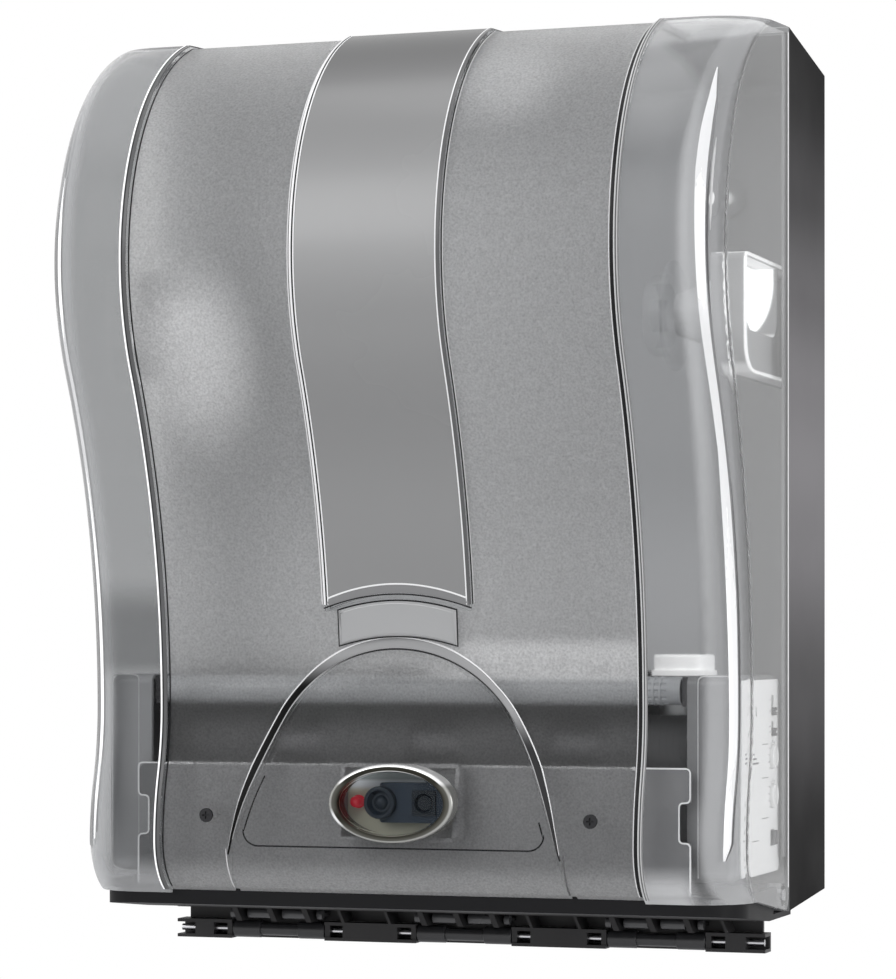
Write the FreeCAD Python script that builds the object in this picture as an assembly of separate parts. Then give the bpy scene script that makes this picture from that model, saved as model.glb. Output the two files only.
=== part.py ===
import FreeCAD, Part
import math
import os

V = FreeCAD.Vector

# Wall-mounted automatic roll towel dispenser, in millimetres.
# X points to the viewer's right, the front faces -Y, Z is up. The wall is the plane Y = 0 and the
# origin is the middle of the four wall screws, on the rear face.

# Whole casing
HOUSING_DEPTH = 80.0
JOINT_TOP = 194.6
JOINT_BOTTOM = -194.6
WALL_TOP = 183.0
WALL_BOTTOM = -189.0
HOUSING_WALL = 2.5
HOUSING_REAR_R = 8.0
COVER_WALL = 2.6
JOINT_GAP = 0.5

# Side profile of the front cover: a bulge, a waist, a belly and a rounded foot
FRONT_TOP_Z = 190.0
BULGE_Y = -216.0
BULGE_R = 108.0
ROOF_TURN = 70.81
WAIST_Y = -170.5
WAIST_Z = -105.0
BELLY_Y = -178.8
BELLY_Z = -163.0
FOOT_R = 27.0
FOOT_ANGLE = 60.5
CORNER_R = 25.0

# Panels and marks on the cover
PANEL_HALF = 31.0
PANEL_POCKET = 1.0
PANEL_FIT = 0.1
PANEL_END_Z = -61.0
PANEL_ARC_RISE = 6.0
RECESS_OUTER = 108.0
RECESS_MARGIN = 2.0
RECESS_DEPTH = 1.6
RECESS_REAR_Y = -95.0
BADGE_HALF = 26.0
BADGE_TOP_Z = -60.0
BADGE_FOOT_Z = -77.0
BADGE_RISE = 4.1
BADGE_PROUD = 1.2
ARCH_CROWN_R = 60.0
ARCH_CROWN_Z = -139.6
ARCH_CROWN_TURN = 60.0
ARCH_SIDE_R = 199.0
ARCH_SIDE_TURN = 77.6
ARCH_FOOT_HALF = 80.2
ARCH_GROOVE = 2.4
ARCH_DEPTH = 0.8

# Sensor window
SENSOR_Z = -145.0
BEZEL_A = 28.2
BEZEL_B = 16.9
WINDOW_A = 24.0
WINDOW_B = 13.8
BEZEL_FRONT_Y = -183.0
BEZEL_NECK = 1.2
LENS_FRONT_Y = -181.2
LENS_THICK = 1.8
HOLDER_REAR_Y = -163.6
HOLDER_HALF_X = 27.0
HOLDER_HALF_Z = 16.6
HOLDER_WALL = 1.8
BOARD_THICK = 1.6
EMITTER_X = -7.5
EMITTER_R = 7.0
EMITTER_FRONT_Y = -175.6
RECEIVER_X = 12.0
RECEIVER_SIZE = 10.6
MODULE_X0 = -8.0
MODULE_X1 = 20.5
MODULE_HALF_Z = 8.6
MODULE_FRONT_Y = -172.6
LED_X = -20.0
LED_R = 2.5
COVER_SCREW_X = 87.0
COVER_SCREW_Z = -151.5
COVER_SCREW_R = 1.5
COVER_SCREW_HEAD_R = 3.0
COVER_SCREW_LONG = 9.0

# Cover hinge and lock
PIVOT_Y = -87.5
PIVOT_Z = -187.0
PIVOT_PIN_R = 2.5
PIVOT_BOSS_R = 5.0
PIVOT_EAR = 4.0
PIVOT_PLAY = 0.3
RUN_FIT = 0.06
LOCK_Y = -100.0
LOCK_R = 6.0
LOCK_HEAD_R = 7.0
LOCK_HEAD_DEPTH = 1.4
LOCK_LONG = 19.0
LOCK_BOSS_R = 9.0
LOCK_BOSS_LONG = 9.45
CAM_REACH = 20.5
CAM_HALF = 4.0
CAM_THICK = 2.0
CAM_LIP = 5.0
CATCH_HALF = 8.0
CATCH_THICK = 2.0
CATCH_FROM_AXIS = 14.0

# Bottom tray with the paper slot
TRAY_FRONT_Y = -162.6
TRAY_FRONT_Z = -191.5
TRAY_FLAT_Z = -197.4
TRAY_FLAT_Y = -103.0
TRAY_RIM_Z = -183.0
TRAY_FLOOR = 2.5
TRAY_SIDE_GAP = 0.8
TRAY_REAR_Y = -62.0
SLOT_HALF = 112.0
SLOT_Y0 = -101.5
SLOT_Y1 = -92.5
BLADE_THICK = 0.8
BLADE_TEETH = 55
BLADE_TOOTH = 3.0

# Exit strip under the tray
STRIP_INSET = 10.0
STRIP_BOTTOM = -213.3
STRIP_SPLIT = -204.7
SPOOL_Y = -79.0
SPOOL_Z = -209.0
SPOOL_R = 4.0
SPOOL_NECK_R = 2.9
SPOOL_LONG = 45.0
SPOOL_BARREL = 13.3
SPOOL_PITCH = 90.0
SPOOL_COUNT = 3
SPOOL_ROD_R = 1.5
RAIL_REAR_Y = -72.0
RAIL_BACK = 2.0
RAIL_FRONT_Y = -83.0
RAIL_LEDGE = 1.5
RAIL_BLOCK_HALF = 13.2
RAIL_END_INSET = 13.5
RAIL_END_HALF = 4.6
GUIDE_FRONT_Y = -90.0
RIB_PITCH = 22.5
RIB_THICK = 1.4
RIB_SLANT = 3.0
FIN_PITCH = 17.0
FIN_THICK = 2.6
FIN_FRONT_Y = -91.5

# Mechanism chassis
CHASSIS_SIDE = 10.5
CHASSIS_PLATE = 3.0
CHASSIS_TOP = -91.0
CHASSIS_BOTTOM = -178.0
CHASSIS_FRONT_Y = -140.0
CHASSIS_REAR_Y = -5.0
PARTITION_Y = -50.0
PARTITION_THICK = 2.0
SHEET = 2.5
POST_X = 95.0
POST_Z0 = -164.0
POST_Z1 = -106.0
POST_R = 5.0
SCREW_R = 1.5
SCREW_HEAD_R = 3.2
SCREW_HEAD = 2.2
SCREW_FIT = 0.1
SCREW_LONG = 6.0

# Rollers and gears
FEED_Y = -114.0
FEED_Z = -122.0
FEED_R = 14.0
FEED_CORE_R = 10.0
FEED_MARGIN = 4.0
SHAFT_R = 4.0
SLEEVE_COUNT = 4
SLEEVE_LONG = 40.0
BUSH_R = 7.0
BUSH_FLANGE = 1.2
PRESS_R = 8.0
PRESS_GAP = 0.35
PRESS_Z = -124.0
PRESS_SHAFT_R = 2.5
GUIDE_ROLL_Y = -143.0
GUIDE_ROLL_Z = -97.0
GUIDE_ROLL_R = 6.0
GUIDE_ROLL_SHAFT_R = 2.0
FLUTES = 12
MODULE = 1.0
ROLLER_TEETH = 30
IDLER_TEETH = 20
PINION_TEETH = 12
GEAR_GAP = 1.7
GEAR_WIDE = 5.0
IDLER_ANGLE = -50.0
PINION_ANGLE = -50.0
GEAR_BACKLASH = 0.25
AXLE_R = 2.0
GEARBOX_LONG = 34.0
GEARBOX_Y0 = -83.0
GEARBOX_Y1 = -58.0
GEARBOX_Z0 = -165.0
GEARBOX_Z1 = -111.6
MOTOR_INSET = 16.5
MOTOR_Y = -92.5
MOTOR_R = 11.0
MOTOR_TOP = -85.0
CAP_R = 13.4
CAP_TOP = -81.6
CAP_FLANGE_R = 14.5
CAP_FLANGE = 2.5
CAP_WALL = 1.6

# End caps and the control panel on the right one
END_CAP_DEEP = 20.7
END_CAP_PLAY = 6.8
END_CAP_FRONT_Y = -153.0
END_CAP_REAR_Y = -77.0
END_CAP_TOP = -90.5
END_CAP_WALL = 2.0
END_CAP_R = 4.0
LABEL_THICK = 0.6
LABEL_FRONT_Y = -142.0
LABEL_REAR_Y = -80.0
LABEL_TOP = -92.5
LABEL_FOOT = -176.5
CONTROL_Y = -92.0
CONTROL_PROUD = 2.4
CONTROL_FIT = 0.35
SWITCH_HALF_Y = 1.5
SWITCH_TALL = 3.4
SWITCH_ONE_Z = -106.4
SWITCH_ONE_TRAVEL = 5.0
SWITCH_TWO_Z = -115.4
SWITCH_TWO_TRAVEL = 2.5
KNOB_R = 5.2
KNOB_ONE_Z = -126.3
KNOB_TWO_Z = -143.3
KNOB_STEM_R = 1.8
BUTTON_HALF = 3.2
BUTTON_Z = -161.6
BUTTON_TRAVEL = 1.5
CONTROL_BOARD_DEEP = 7.2

# Front guide plate
GUIDE_PLATE_SIDE = 3.5
GUIDE_PLATE_Y = -160.0
GUIDE_PLATE_THICK = 2.2
GUIDE_PLATE_TOP = -129.5
GUIDE_PLATE_FOOT = -184.0
GUIDE_PLATE_R = 5.0
NOTCH_Z0 = -161.0
NOTCH_Z1 = -144.0
NOTCH_DEEP = 5.0
NOTCH_R = 1.8

# Batteries, board and jack
BOX_HALF = 68.0
BOX_Y0 = -46.5
BOX_Y1 = -8.0
BOX_FOOT = -173.5
BOX_TOP = -95.0
BOX_WALL = 1.8
CELL_R = 16.5
CELL_LONG = 59.0
CELL_NUB_R = 5.0
CELL_NUB = 1.5
LID_THICK = 2.0
LID_PIN_R = 2.0
LID_GAP = 0.4
BOARD_WIDE = 72.0
BOARD_Z0 = -168.0
BOARD_Z1 = -104.0
JACK_X = -92.0
JACK_Y = -28.0
JACK_SIZE = 9.0
JACK_TALL = 9.0
JACK_R = 3.8
JACK_BORE = 2.8
JACK_PIN = 1.0
JACK_HOLE = 4.4

# Roll arms and hubs
ARM_INSET = 9.0
ARM_WIDE = 12.0
ARM_TOP = 91.0
ARM_FOOT = 40.0
ARM_FRONT_Y = -132.0
ARM_FRONT_R = 18.0
ARM_SKIN = 2.0
ARM_PIN_Y = -11.0
ARM_PIN_R = 2.0
ARM_KNUCKLE_R = 5.5
ARM_PLAY = 0.5
ARM_EAR = 8.5
ROLL_Y = -113.0
ROLL_Z = 66.0
ROLL_HALF = 105.5
HUB_R = 18.0
HUB_PLUG = 9.0
HUB_FLANGE_R = 24.0
HUB_FLANGE = 2.5
HUB_SHAFT_R = 5.0
ARM_BOSS_R = 16.0
ARM_BOSS_TIP_R = 9.0

# Wall screws
WALL_SCREW_X = 200.0
WALL_SCREW_Z = 260.0
WALL_SCREW_R = 3.25
WALL_PAD_R = 9.0
WALL_PAD = 2.0

# Everything across the width follows the paper slot
CHASSIS_HALF = SLOT_HALF + CHASSIS_SIDE
FEED_HALF = SLOT_HALF + FEED_MARGIN
GEAR_X0 = CHASSIS_HALF + GEAR_GAP
MOTOR_X = CHASSIS_HALF - MOTOR_INSET
END_CAP_OUTER = CHASSIS_HALF + END_CAP_DEEP
CONTROL_BOARD_X = END_CAP_OUTER - CONTROL_BOARD_DEEP
GUIDE_PLATE_HALF = CHASSIS_HALF + GUIDE_PLATE_SIDE
BOARD_X0 = -SLOT_HALF
BOARD_X1 = BOARD_X0 + BOARD_WIDE
HALF = END_CAP_OUTER + END_CAP_PLAY
STRIP_HALF = HALF - STRIP_INSET
RAIL_END_X = STRIP_HALF - RAIL_END_INSET
ARM_OUTER = HALF - ARM_INSET
ARM_INNER = ARM_OUTER - ARM_WIDE
ARM_PIN_X = (ARM_INNER + ARM_OUTER) / 2.0
EAR_OUTER = HALF - ARM_INSET
JOINT_Y = -HOUSING_DEPTH
nodes = {}


# Small shape helpers

def box(x0, x1, y0, y1, z0, z1):
    size = V(abs(x1 - x0), abs(y1 - y0), abs(z1 - z0))
    low = V(min(x0, x1), min(y0, y1), min(z0, z1))
    return Part.makeBox(size.x, size.y, size.z, low)


def rod_x(x0, x1, y, z, r):
    return Part.makeCylinder(r, abs(x1 - x0), V(min(x0, x1), y, z), V(1, 0, 0))


def rod_y(x, y0, y1, z, r):
    return Part.makeCylinder(r, abs(y1 - y0), V(x, min(y0, y1), z), V(0, 1, 0))


def rod_z(x, y, z0, z1, r):
    return Part.makeCylinder(r, abs(z1 - z0), V(x, y, min(z0, z1)), V(0, 0, 1))


def mirror_x(shape):
    return shape.mirror(V(0, 0, 0), V(1, 0, 0))


def both_sides(shape):
    return [shape, mirror_x(shape)]


def fuse_all(shapes):
    joined = shapes[0].fuse(shapes[1:]) if len(shapes) > 1 else shapes[0]
    return joined.removeSplitter()


def round_edges(shape, radius, wanted):
    edges = [edge for edge in shape.Edges if wanted(edge)]
    return shape.makeFillet(radius, edges)


def runs_along(edge, axis):
    if edge.Curve.TypeId != "Part::GeomLine":
        return False
    start, end = edge.Vertexes[0].Point, edge.Vertexes[-1].Point
    return abs(abs((end - start).normalize().dot(axis)) - 1.0) < 1e-6


def plate_y(points, y0, y1):
    """Closed outline in X and Z, given a thickness along Y."""
    corners = [V(x, y0, z) for x, z in points]
    face = Part.Face(Part.makePolygon(corners + [corners[0]]))
    return face.extrude(V(0, y1 - y0, 0))


def plate_x(points, x0, x1):
    """Closed outline in Y and Z, given a thickness along X."""
    corners = [V(x0, y, z) for y, z in points]
    face = Part.Face(Part.makePolygon(corners + [corners[0]]))
    return face.extrude(V(x1 - x0, 0, 0))


def oval_y(a, b, z, y0, y1):
    curve = Part.Ellipse(V(a, y0, z), V(0, y0, z + b), V(0, y0, z))
    face = Part.Face(Part.Wire(curve.toShape()))
    return face.extrude(V(0, y1 - y0, 0))


def housing_slope(y, joint_z, wall_z):
    return wall_z + (joint_z - wall_z) * (-y) / HOUSING_DEPTH


# The cover's skin at any depth below its outer surface

def tangent_radius(shift_y, shift_z, other_r):
    """Radius of an arc with an upright start that meets a circle of other_r smoothly."""
    return (shift_y ** 2 + shift_z ** 2 - other_r ** 2) / (2.0 * (other_r - shift_y))


FAR_FRONT = BULGE_Y - 20.0
SWEEP_DEPTH = 140.0
CORNER_START = 105.0
BULGE_Z = FRONT_TOP_Z - BULGE_R * math.sin(math.radians(ROOF_TURN))
BULGE_CENTRE = (BULGE_Y + BULGE_R, BULGE_Z)
WAIST_R = tangent_radius(BULGE_CENTRE[0] - WAIST_Y, BULGE_Z - WAIST_Z, BULGE_R)
WAIST_CENTRE = (WAIST_Y - WAIST_R, WAIST_Z)
BELLY_DROP = WAIST_Z - BELLY_Z
BELLY_STEP = WAIST_Y - BELLY_Y
BELLY_R = (BELLY_DROP ** 2 + BELLY_STEP ** 2) / (4.0 * BELLY_STEP)
LOWER_CENTRE = (WAIST_Y - BELLY_R, WAIST_Z)
BELLY_CENTRE = (BELLY_Y + BELLY_R, BELLY_Z)
FOOT_CENTRE = (BELLY_Y + FOOT_R, BELLY_Z)
BULGE_TURN = math.degrees(math.atan2(BULGE_Z - WAIST_Z, BULGE_CENTRE[0] - WAIST_CENTRE[0]))
BELLY_TURN = math.degrees(math.asin(BELLY_DROP / (2.0 * BELLY_R)))
FRONT_TOP_Y = BULGE_CENTRE[0] - BULGE_R * math.cos(math.radians(ROOF_TURN))


def polar(centre, radius, degrees):
    turn = math.radians(degrees)
    return (centre[0] + radius * math.cos(turn), centre[1] + radius * math.sin(turn))


def side_arc(x, centre, radius, start, end):
    ends = [polar(centre, radius, a) for a in (start, (start + end) / 2.0, end)]
    return Part.Arc(*[V(x, y, z) for y, z in ends]).toShape()


def roof_z(y, depth):
    """Height of the cover's flat roof, moved in by depth."""
    slope = (JOINT_TOP - FRONT_TOP_Z) / (JOINT_Y - FRONT_TOP_Y)
    return FRONT_TOP_Z + slope * (y - FRONT_TOP_Y) - depth * math.hypot(1.0, slope)


def roof_meets_bulge(depth):
    """Angle on the bulge circle where the moved-in roof starts."""
    radius = BULGE_R - depth
    low, high = 95.0, 150.0
    for _ in range(60):
        middle = (low + high) / 2.0
        y, z = polar(BULGE_CENTRE, radius, middle)
        if z > roof_z(y, depth):
            low = middle
        else:
            high = middle
    return (low + high) / 2.0


def skin_arcs(x, depth, start):
    return [
        side_arc(x, BULGE_CENTRE, BULGE_R - depth, start, 180.0 + BULGE_TURN),
        side_arc(x, WAIST_CENTRE, WAIST_R + depth, BULGE_TURN, 0.0),
        side_arc(x, LOWER_CENTRE, BELLY_R + depth, 0.0, -BELLY_TURN),
        side_arc(x, BELLY_CENTRE, BELLY_R - depth, 180.0 - BELLY_TURN, 180.0),
        side_arc(x, FOOT_CENTRE, FOOT_R - depth, 180.0, 180.0 + FOOT_ANGLE),
    ]


def cover_corner(depth):
    """Rounded upright corner: the plan curve carried along the side profile without turning."""
    x0 = HALF - CORNER_R
    r = CORNER_R - depth
    bend_y, bend_z = polar(BULGE_CENTRE, BULGE_R - depth, CORNER_START)
    rise = JOINT_TOP + 0.5 - bend_z
    run = rise * math.tan(math.radians(CORNER_START - 90.0)) ** -1
    lead = Part.makeLine(V(x0, bend_y + run, bend_z + rise), V(x0, bend_y, bend_z))
    path = Part.Wire([lead] + skin_arcs(x0, depth, CORNER_START))
    first = path.OrderedVertexes[0].Point
    bend = r * math.sqrt(0.5)
    deep = SWEEP_DEPTH
    corners = [first + V(r, r, 0), first + V(r, deep, 0), first + V(0, deep, 0), first]
    arc = Part.Arc(first, first + V(bend, r - bend, 0), corners[0]).toShape()
    lines = [Part.makeLine(p, q) for p, q in zip(corners, corners[1:])]
    sweep = Part.BRepOffsetAPI.MakePipeShell(path)
    sweep.setTrihedronMode(V(0, 0, 0), V(0, 0, 1))
    sweep.add(Part.Wire([arc] + lines))
    sweep.build()
    sweep.makeSolid()
    return sweep.shape()


def cover_block(depth, rear_y):
    """Solid inside the cover's skin moved in by depth, with its upright corners rounded."""
    x0 = HALF - CORNER_R
    start = roof_meets_bulge(depth)
    foot = polar(FOOT_CENTRE, FOOT_R - depth, 180.0 + FOOT_ANGLE)
    heel = (FOOT_CENTRE[0] + FOOT_R / 2.0, foot[1])
    rear_foot = (rear_y, min(JOINT_BOTTOM, foot[1] - 1.0))
    top = polar(BULGE_CENTRE, BULGE_R - depth, start)
    corners = [foot, heel, rear_foot, (rear_y, roof_z(rear_y, depth)), top]
    lines = [Part.makeLine(V(-x0, p[0], p[1]), V(-x0, q[0], q[1])) for p, q in zip(corners, corners[1:])]
    face = Part.Face(Part.Wire(Part.__sortEdges__(skin_arcs(-x0, depth, start) + lines)))
    core = face.extrude(V(2.0 * x0, 0, 0))
    roof = [(FAR_FRONT, roof_z(FAR_FRONT, depth)), (rear_y, roof_z(rear_y, depth)),
            (rear_y, JOINT_BOTTOM - 20.0), (FAR_FRONT, JOINT_BOTTOM - 20.0)]
    side = cover_corner(depth).common(plate_x(roof, -HALF, HALF))
    heel_up = (heel[0], heel[1] + 1.0)
    strip = plate_x([heel_up, heel, rear_foot, (rear_y, heel[1] + 1.0)], x0, HALF - depth)
    return fuse_all([core] + both_sides(side) + both_sides(strip))


def bowed_outline(half, top_z, top_rise, foot_z, foot_rise, y0, y1):
    """Upright strip whose top and foot edges bow upwards, with a thickness along Y."""
    def bow(z, rise, sign):
        if rise == 0:
            return Part.makeLine(V(-sign * half, y0, z), V(sign * half, y0, z))
        return Part.Arc(V(-sign * half, y0, z), V(0, y0, z + rise), V(sign * half, y0, z)).toShape()
    edges = [
        bow(top_z, top_rise, 1),
        Part.makeLine(V(half, y0, top_z), V(half, y0, foot_z)),
        bow(foot_z, foot_rise, -1),
        Part.makeLine(V(-half, y0, foot_z), V(-half, y0, top_z)),
    ]
    face = Part.Face(Part.Wire(edges))
    return face.extrude(V(0, y1 - y0, 0))


def arch_outline(shrink, y0, y1):
    """Dome outline on the lower front: a round crown, wide shoulders and straight feet."""
    crown = (0.0, ARCH_CROWN_Z)
    joint = polar(crown, ARCH_CROWN_R - ARCH_SIDE_R, 90.0 - ARCH_CROWN_TURN)
    turns = [ARCH_CROWN_TURN, (ARCH_CROWN_TURN + ARCH_SIDE_TURN) / 2.0, ARCH_SIDE_TURN]
    shoulder = [polar(joint, ARCH_SIDE_R - shrink, 90.0 - turn) for turn in turns]
    foot = (ARCH_FOOT_HALF - shrink, JOINT_BOTTOM)
    top = (0.0, ARCH_CROWN_Z + ARCH_CROWN_R - shrink)

    def at(point, side):
        return V(side * point[0], y0, point[1])

    edges = [Part.Arc(at(shoulder[0], -1), at(top, 1), at(shoulder[0], 1)).toShape()]
    for side in (-1, 1):
        edges.append(Part.Arc(*[at(point, side) for point in shoulder]).toShape())
        edges.append(Part.makeLine(at(shoulder[2], side), at(foot, side)))
    edges.append(Part.makeLine(at(foot, -1), at(foot, 1)))
    face = Part.Face(Part.Wire(Part.__sortEdges__(edges)))
    return face.extrude(V(0, y1 - y0, 0))


def front_y(z):
    """Y of the cover's outer surface on the lower front."""
    if z > WAIST_Z:
        return WAIST_CENTRE[0] + math.sqrt(WAIST_R ** 2 - (z - WAIST_Z) ** 2)
    if z > WAIST_Z - BELLY_DROP / 2.0:
        return LOWER_CENTRE[0] + math.sqrt(BELLY_R ** 2 - (z - WAIST_Z) ** 2)
    return BELLY_CENTRE[0] - math.sqrt(BELLY_R ** 2 - (z - BELLY_Z) ** 2)


# Front cover

def make_front_cover():
    rear = JOINT_Y - JOINT_GAP
    outer = cover_block(0.0, rear)
    recessed = cover_block(RECESS_DEPTH, rear)
    inner = cover_block(COVER_WALL, JOINT_Y + 20.0)
    inner_recessed = cover_block(COVER_WALL + RECESS_DEPTH, JOINT_Y + 20.0)

    def recess_zone(margin):
        wide = box(-RECESS_OUTER - margin, RECESS_OUTER + margin, FAR_FRONT, RECESS_REAR_Y,
                   JOINT_BOTTOM - 20.0, JOINT_TOP + 20.0)
        keep = bowed_outline(PANEL_HALF + RECESS_MARGIN - margin, JOINT_TOP + 30.0, 0,
                             PANEL_END_Z - RECESS_MARGIN + margin, PANEL_ARC_RISE,
                             FAR_FRONT - 5.0, RECESS_REAR_Y + 5.0)
        return wide.cut(keep)

    shell = outer.cut(outer.cut(recessed).common(recess_zone(0.0)))
    hollow = inner.cut(inner.cut(inner_recessed).common(recess_zone(1.4)))
    shell = shell.cut(hollow)
    foot_y, foot_z = polar(FOOT_CENTRE, FOOT_R - COVER_WALL / 2.0, 180.0 + FOOT_ANGLE)
    mouth = box(-HALF + COVER_WALL, HALF - COVER_WALL, foot_y, JOINT_Y + 20.0, JOINT_BOTTOM - 20.0, foot_z + 8.0)
    mouth = round_edges(mouth, CORNER_R - COVER_WALL,
                        lambda e: runs_along(e, V(0, 0, 1)) and e.CenterOfMass.y < foot_y + 1.0)
    shell = shell.cut(mouth)

    pocket_floor = cover_block(PANEL_POCKET, rear)
    pocket = outer.cut(pocket_floor).common(panel_zone(PANEL_FIT))
    shell = shell.cut(pocket)

    groove_floor = cover_block(RECESS_DEPTH + ARCH_DEPTH, rear)
    band = arch_outline(0.0, FAR_FRONT, RECESS_REAR_Y - 40.0)
    band = band.cut(arch_outline(ARCH_GROOVE, FAR_FRONT - 1.0, RECESS_REAR_Y - 39.0))
    shell = shell.cut(outer.cut(groove_floor).common(band))

    neck = BEZEL_NECK + PANEL_FIT
    shell = shell.cut(oval_y(WINDOW_A + neck, WINDOW_B + neck, SENSOR_Z, FAR_FRONT, HOLDER_REAR_Y))
    shell = fuse_all([shell] + cover_bosses())
    for x in (-COVER_SCREW_X, COVER_SCREW_X):
        y = front_y(COVER_SCREW_Z) + RECESS_DEPTH
        shell = shell.cut(rod_y(x, y - 5.0, y + 0.9, COVER_SCREW_Z, COVER_SCREW_HEAD_R + 0.2))
        shell = shell.cut(rod_y(x, y, y + COVER_SCREW_LONG + 1.0, COVER_SCREW_Z, COVER_SCREW_R + SCREW_FIT))

    top = roof_z(LOCK_Y, 0.0)
    shell = shell.cut(rod_z(0, LOCK_Y, top - LOCK_HEAD_DEPTH, top + 5.0, LOCK_HEAD_R + 0.2))
    shell = shell.cut(rod_z(0, LOCK_Y, top - LOCK_BOSS_LONG - 1.0, top + 5.0, LOCK_R + RUN_FIT))
    for side in (-1, 1):
        shell = shell.cut(rod_x(side * (HALF - 30.0), side * (HALF - 1.0), PIVOT_Y, PIVOT_Z,
                                PIVOT_PIN_R + RUN_FIT))
        shell = shell.cut(corner_round(side))
    return shell


def panel_zone(grow):
    return bowed_outline(PANEL_HALF + grow, JOINT_TOP + 30.0, 0, PANEL_END_Z - grow, PANEL_ARC_RISE,
                         FAR_FRONT, FRONT_TOP_Y + grow)


def cover_bosses():
    """Screw bosses behind the front and hinge bosses inside the side walls."""
    parts = []
    for x in (-COVER_SCREW_X, COVER_SCREW_X):
        y = front_y(COVER_SCREW_Z) + RECESS_DEPTH
        parts.append(rod_y(x, y + 1.2, y + COVER_SCREW_LONG + 2.5, COVER_SCREW_Z, COVER_SCREW_R + 2.6))
    parts.append(rod_z(0, LOCK_Y, roof_z(LOCK_Y, 0.0) - LOCK_BOSS_LONG, roof_z(LOCK_Y, COVER_WALL / 2.0), LOCK_BOSS_R))
    inner = HALF - COVER_WALL
    ear_x = EAR_OUTER + PIVOT_PLAY
    for side in (-1, 1):
        parts.append(rod_x(side * ear_x, side * (inner + 0.5), PIVOT_Y, PIVOT_Z, PIVOT_BOSS_R))
    return parts


def corner_round(side):
    """What has to go so that the cover's lower rear corner turns clear of the housing."""
    reach = PIVOT_Y - (JOINT_Y - JOINT_GAP)
    radius = abs(reach)
    x0 = side * (HALF - COVER_WALL - 2.0)
    x1 = side * (HALF + 1.0)
    block = box(x0, x1, PIVOT_Y, JOINT_Y + 1.0, PIVOT_Z - 20.0, PIVOT_Z)
    return block.cut(rod_x(x0, x1, PIVOT_Y, PIVOT_Z, radius))



def make_centre_panel():
    outer = cover_block(0.0, JOINT_Y - JOINT_GAP)
    floor = cover_block(PANEL_POCKET - PANEL_FIT, JOINT_Y - JOINT_GAP)
    return outer.cut(floor).common(panel_zone(0.0))


def make_badge_plate():
    outer = cover_block(-BADGE_PROUD, JOINT_Y - JOINT_GAP)
    floor = cover_block(RECESS_DEPTH - PANEL_FIT, JOINT_Y - JOINT_GAP)
    zone = bowed_outline(BADGE_HALF, BADGE_TOP_Z - RECESS_MARGIN - 1.0, BADGE_RISE, BADGE_FOOT_Z, BADGE_RISE,
                         FAR_FRONT, RECESS_REAR_Y)
    return outer.cut(floor).common(zone)


# Sensor window

def make_sensor_bezel():
    a, b = WINDOW_A, WINDOW_B
    rim = oval_y(BEZEL_A, BEZEL_B, SENSOR_Z, BEZEL_FRONT_Y, HOLDER_REAR_Y)
    rim = rim.cut(cover_block(RECESS_DEPTH - PANEL_FIT, JOINT_Y))
    neck = oval_y(a + BEZEL_NECK, b + BEZEL_NECK, SENSOR_Z, BEZEL_FRONT_Y + 1.0, front_y(SENSOR_Z) + 4.0)
    bezel = rim.fuse(neck)
    bezel = round_edges(bezel, 1.6, lambda e: abs(e.BoundBox.YMax - BEZEL_FRONT_Y) < 0.01)
    opening = oval_y(a, b, SENSOR_Z, BEZEL_FRONT_Y - 1.0, HOLDER_REAR_Y)
    return bezel.cut(opening)


def make_sensor_lens():
    a, b = WINDOW_A - 2.0 * PANEL_FIT, WINDOW_B - 2.0 * PANEL_FIT
    lens = oval_y(a, b, SENSOR_Z, LENS_FRONT_Y, LENS_FRONT_Y + LENS_THICK)
    return round_edges(lens, 0.7, lambda e: abs(e.BoundBox.YMax - LENS_FRONT_Y) < 0.01)


def make_sensor_holder():
    front = front_y(SENSOR_Z) - 6.0
    outer = box(-HOLDER_HALF_X, HOLDER_HALF_X, front, HOLDER_REAR_Y, SENSOR_Z - HOLDER_HALF_Z,
                SENSOR_Z + HOLDER_HALF_Z)
    outer = round_edges(outer, 3.0, lambda e: runs_along(e, V(0, 1, 0)))
    wall = HOLDER_WALL
    inner = box(-HOLDER_HALF_X + wall, HOLDER_HALF_X - wall, front, HOLDER_REAR_Y,
                SENSOR_Z - HOLDER_HALF_Z + wall, SENSOR_Z + HOLDER_HALF_Z - wall)
    ring = outer.cut(inner)
    neck = BEZEL_NECK + PANEL_FIT
    ring = ring.cut(oval_y(WINDOW_A + neck, WINDOW_B + neck, SENSOR_Z, front - 1.0, front_y(SENSOR_Z) + 4.2))
    return ring.common(cover_block(COVER_WALL + RECESS_DEPTH + PANEL_FIT, JOINT_Y))


BOARD_Y = HOLDER_REAR_Y - BOARD_THICK - 0.6


def make_sensor_board():
    inset = HOLDER_WALL + PANEL_FIT
    return box(-HOLDER_HALF_X + inset, HOLDER_HALF_X - inset, BOARD_Y, BOARD_Y + BOARD_THICK,
               SENSOR_Z - HOLDER_HALF_Z + inset, SENSOR_Z + HOLDER_HALF_Z - inset)


def make_sensor_module():
    body = box(MODULE_X0, MODULE_X1, MODULE_FRONT_Y, BOARD_Y, SENSOR_Z - MODULE_HALF_Z, SENSOR_Z + MODULE_HALF_Z)
    body = round_edges(body, 1.2, lambda e: runs_along(e, V(0, 1, 0)))
    body = body.cut(rod_y(EMITTER_X, MODULE_FRONT_Y, BOARD_Y, SENSOR_Z, EMITTER_R + PANEL_FIT))
    half = RECEIVER_SIZE / 2.0 + PANEL_FIT
    return body.cut(box(RECEIVER_X - half, RECEIVER_X + half, MODULE_FRONT_Y, MODULE_FRONT_Y + 2.0,
                        SENSOR_Z - half, SENSOR_Z + half))


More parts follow.
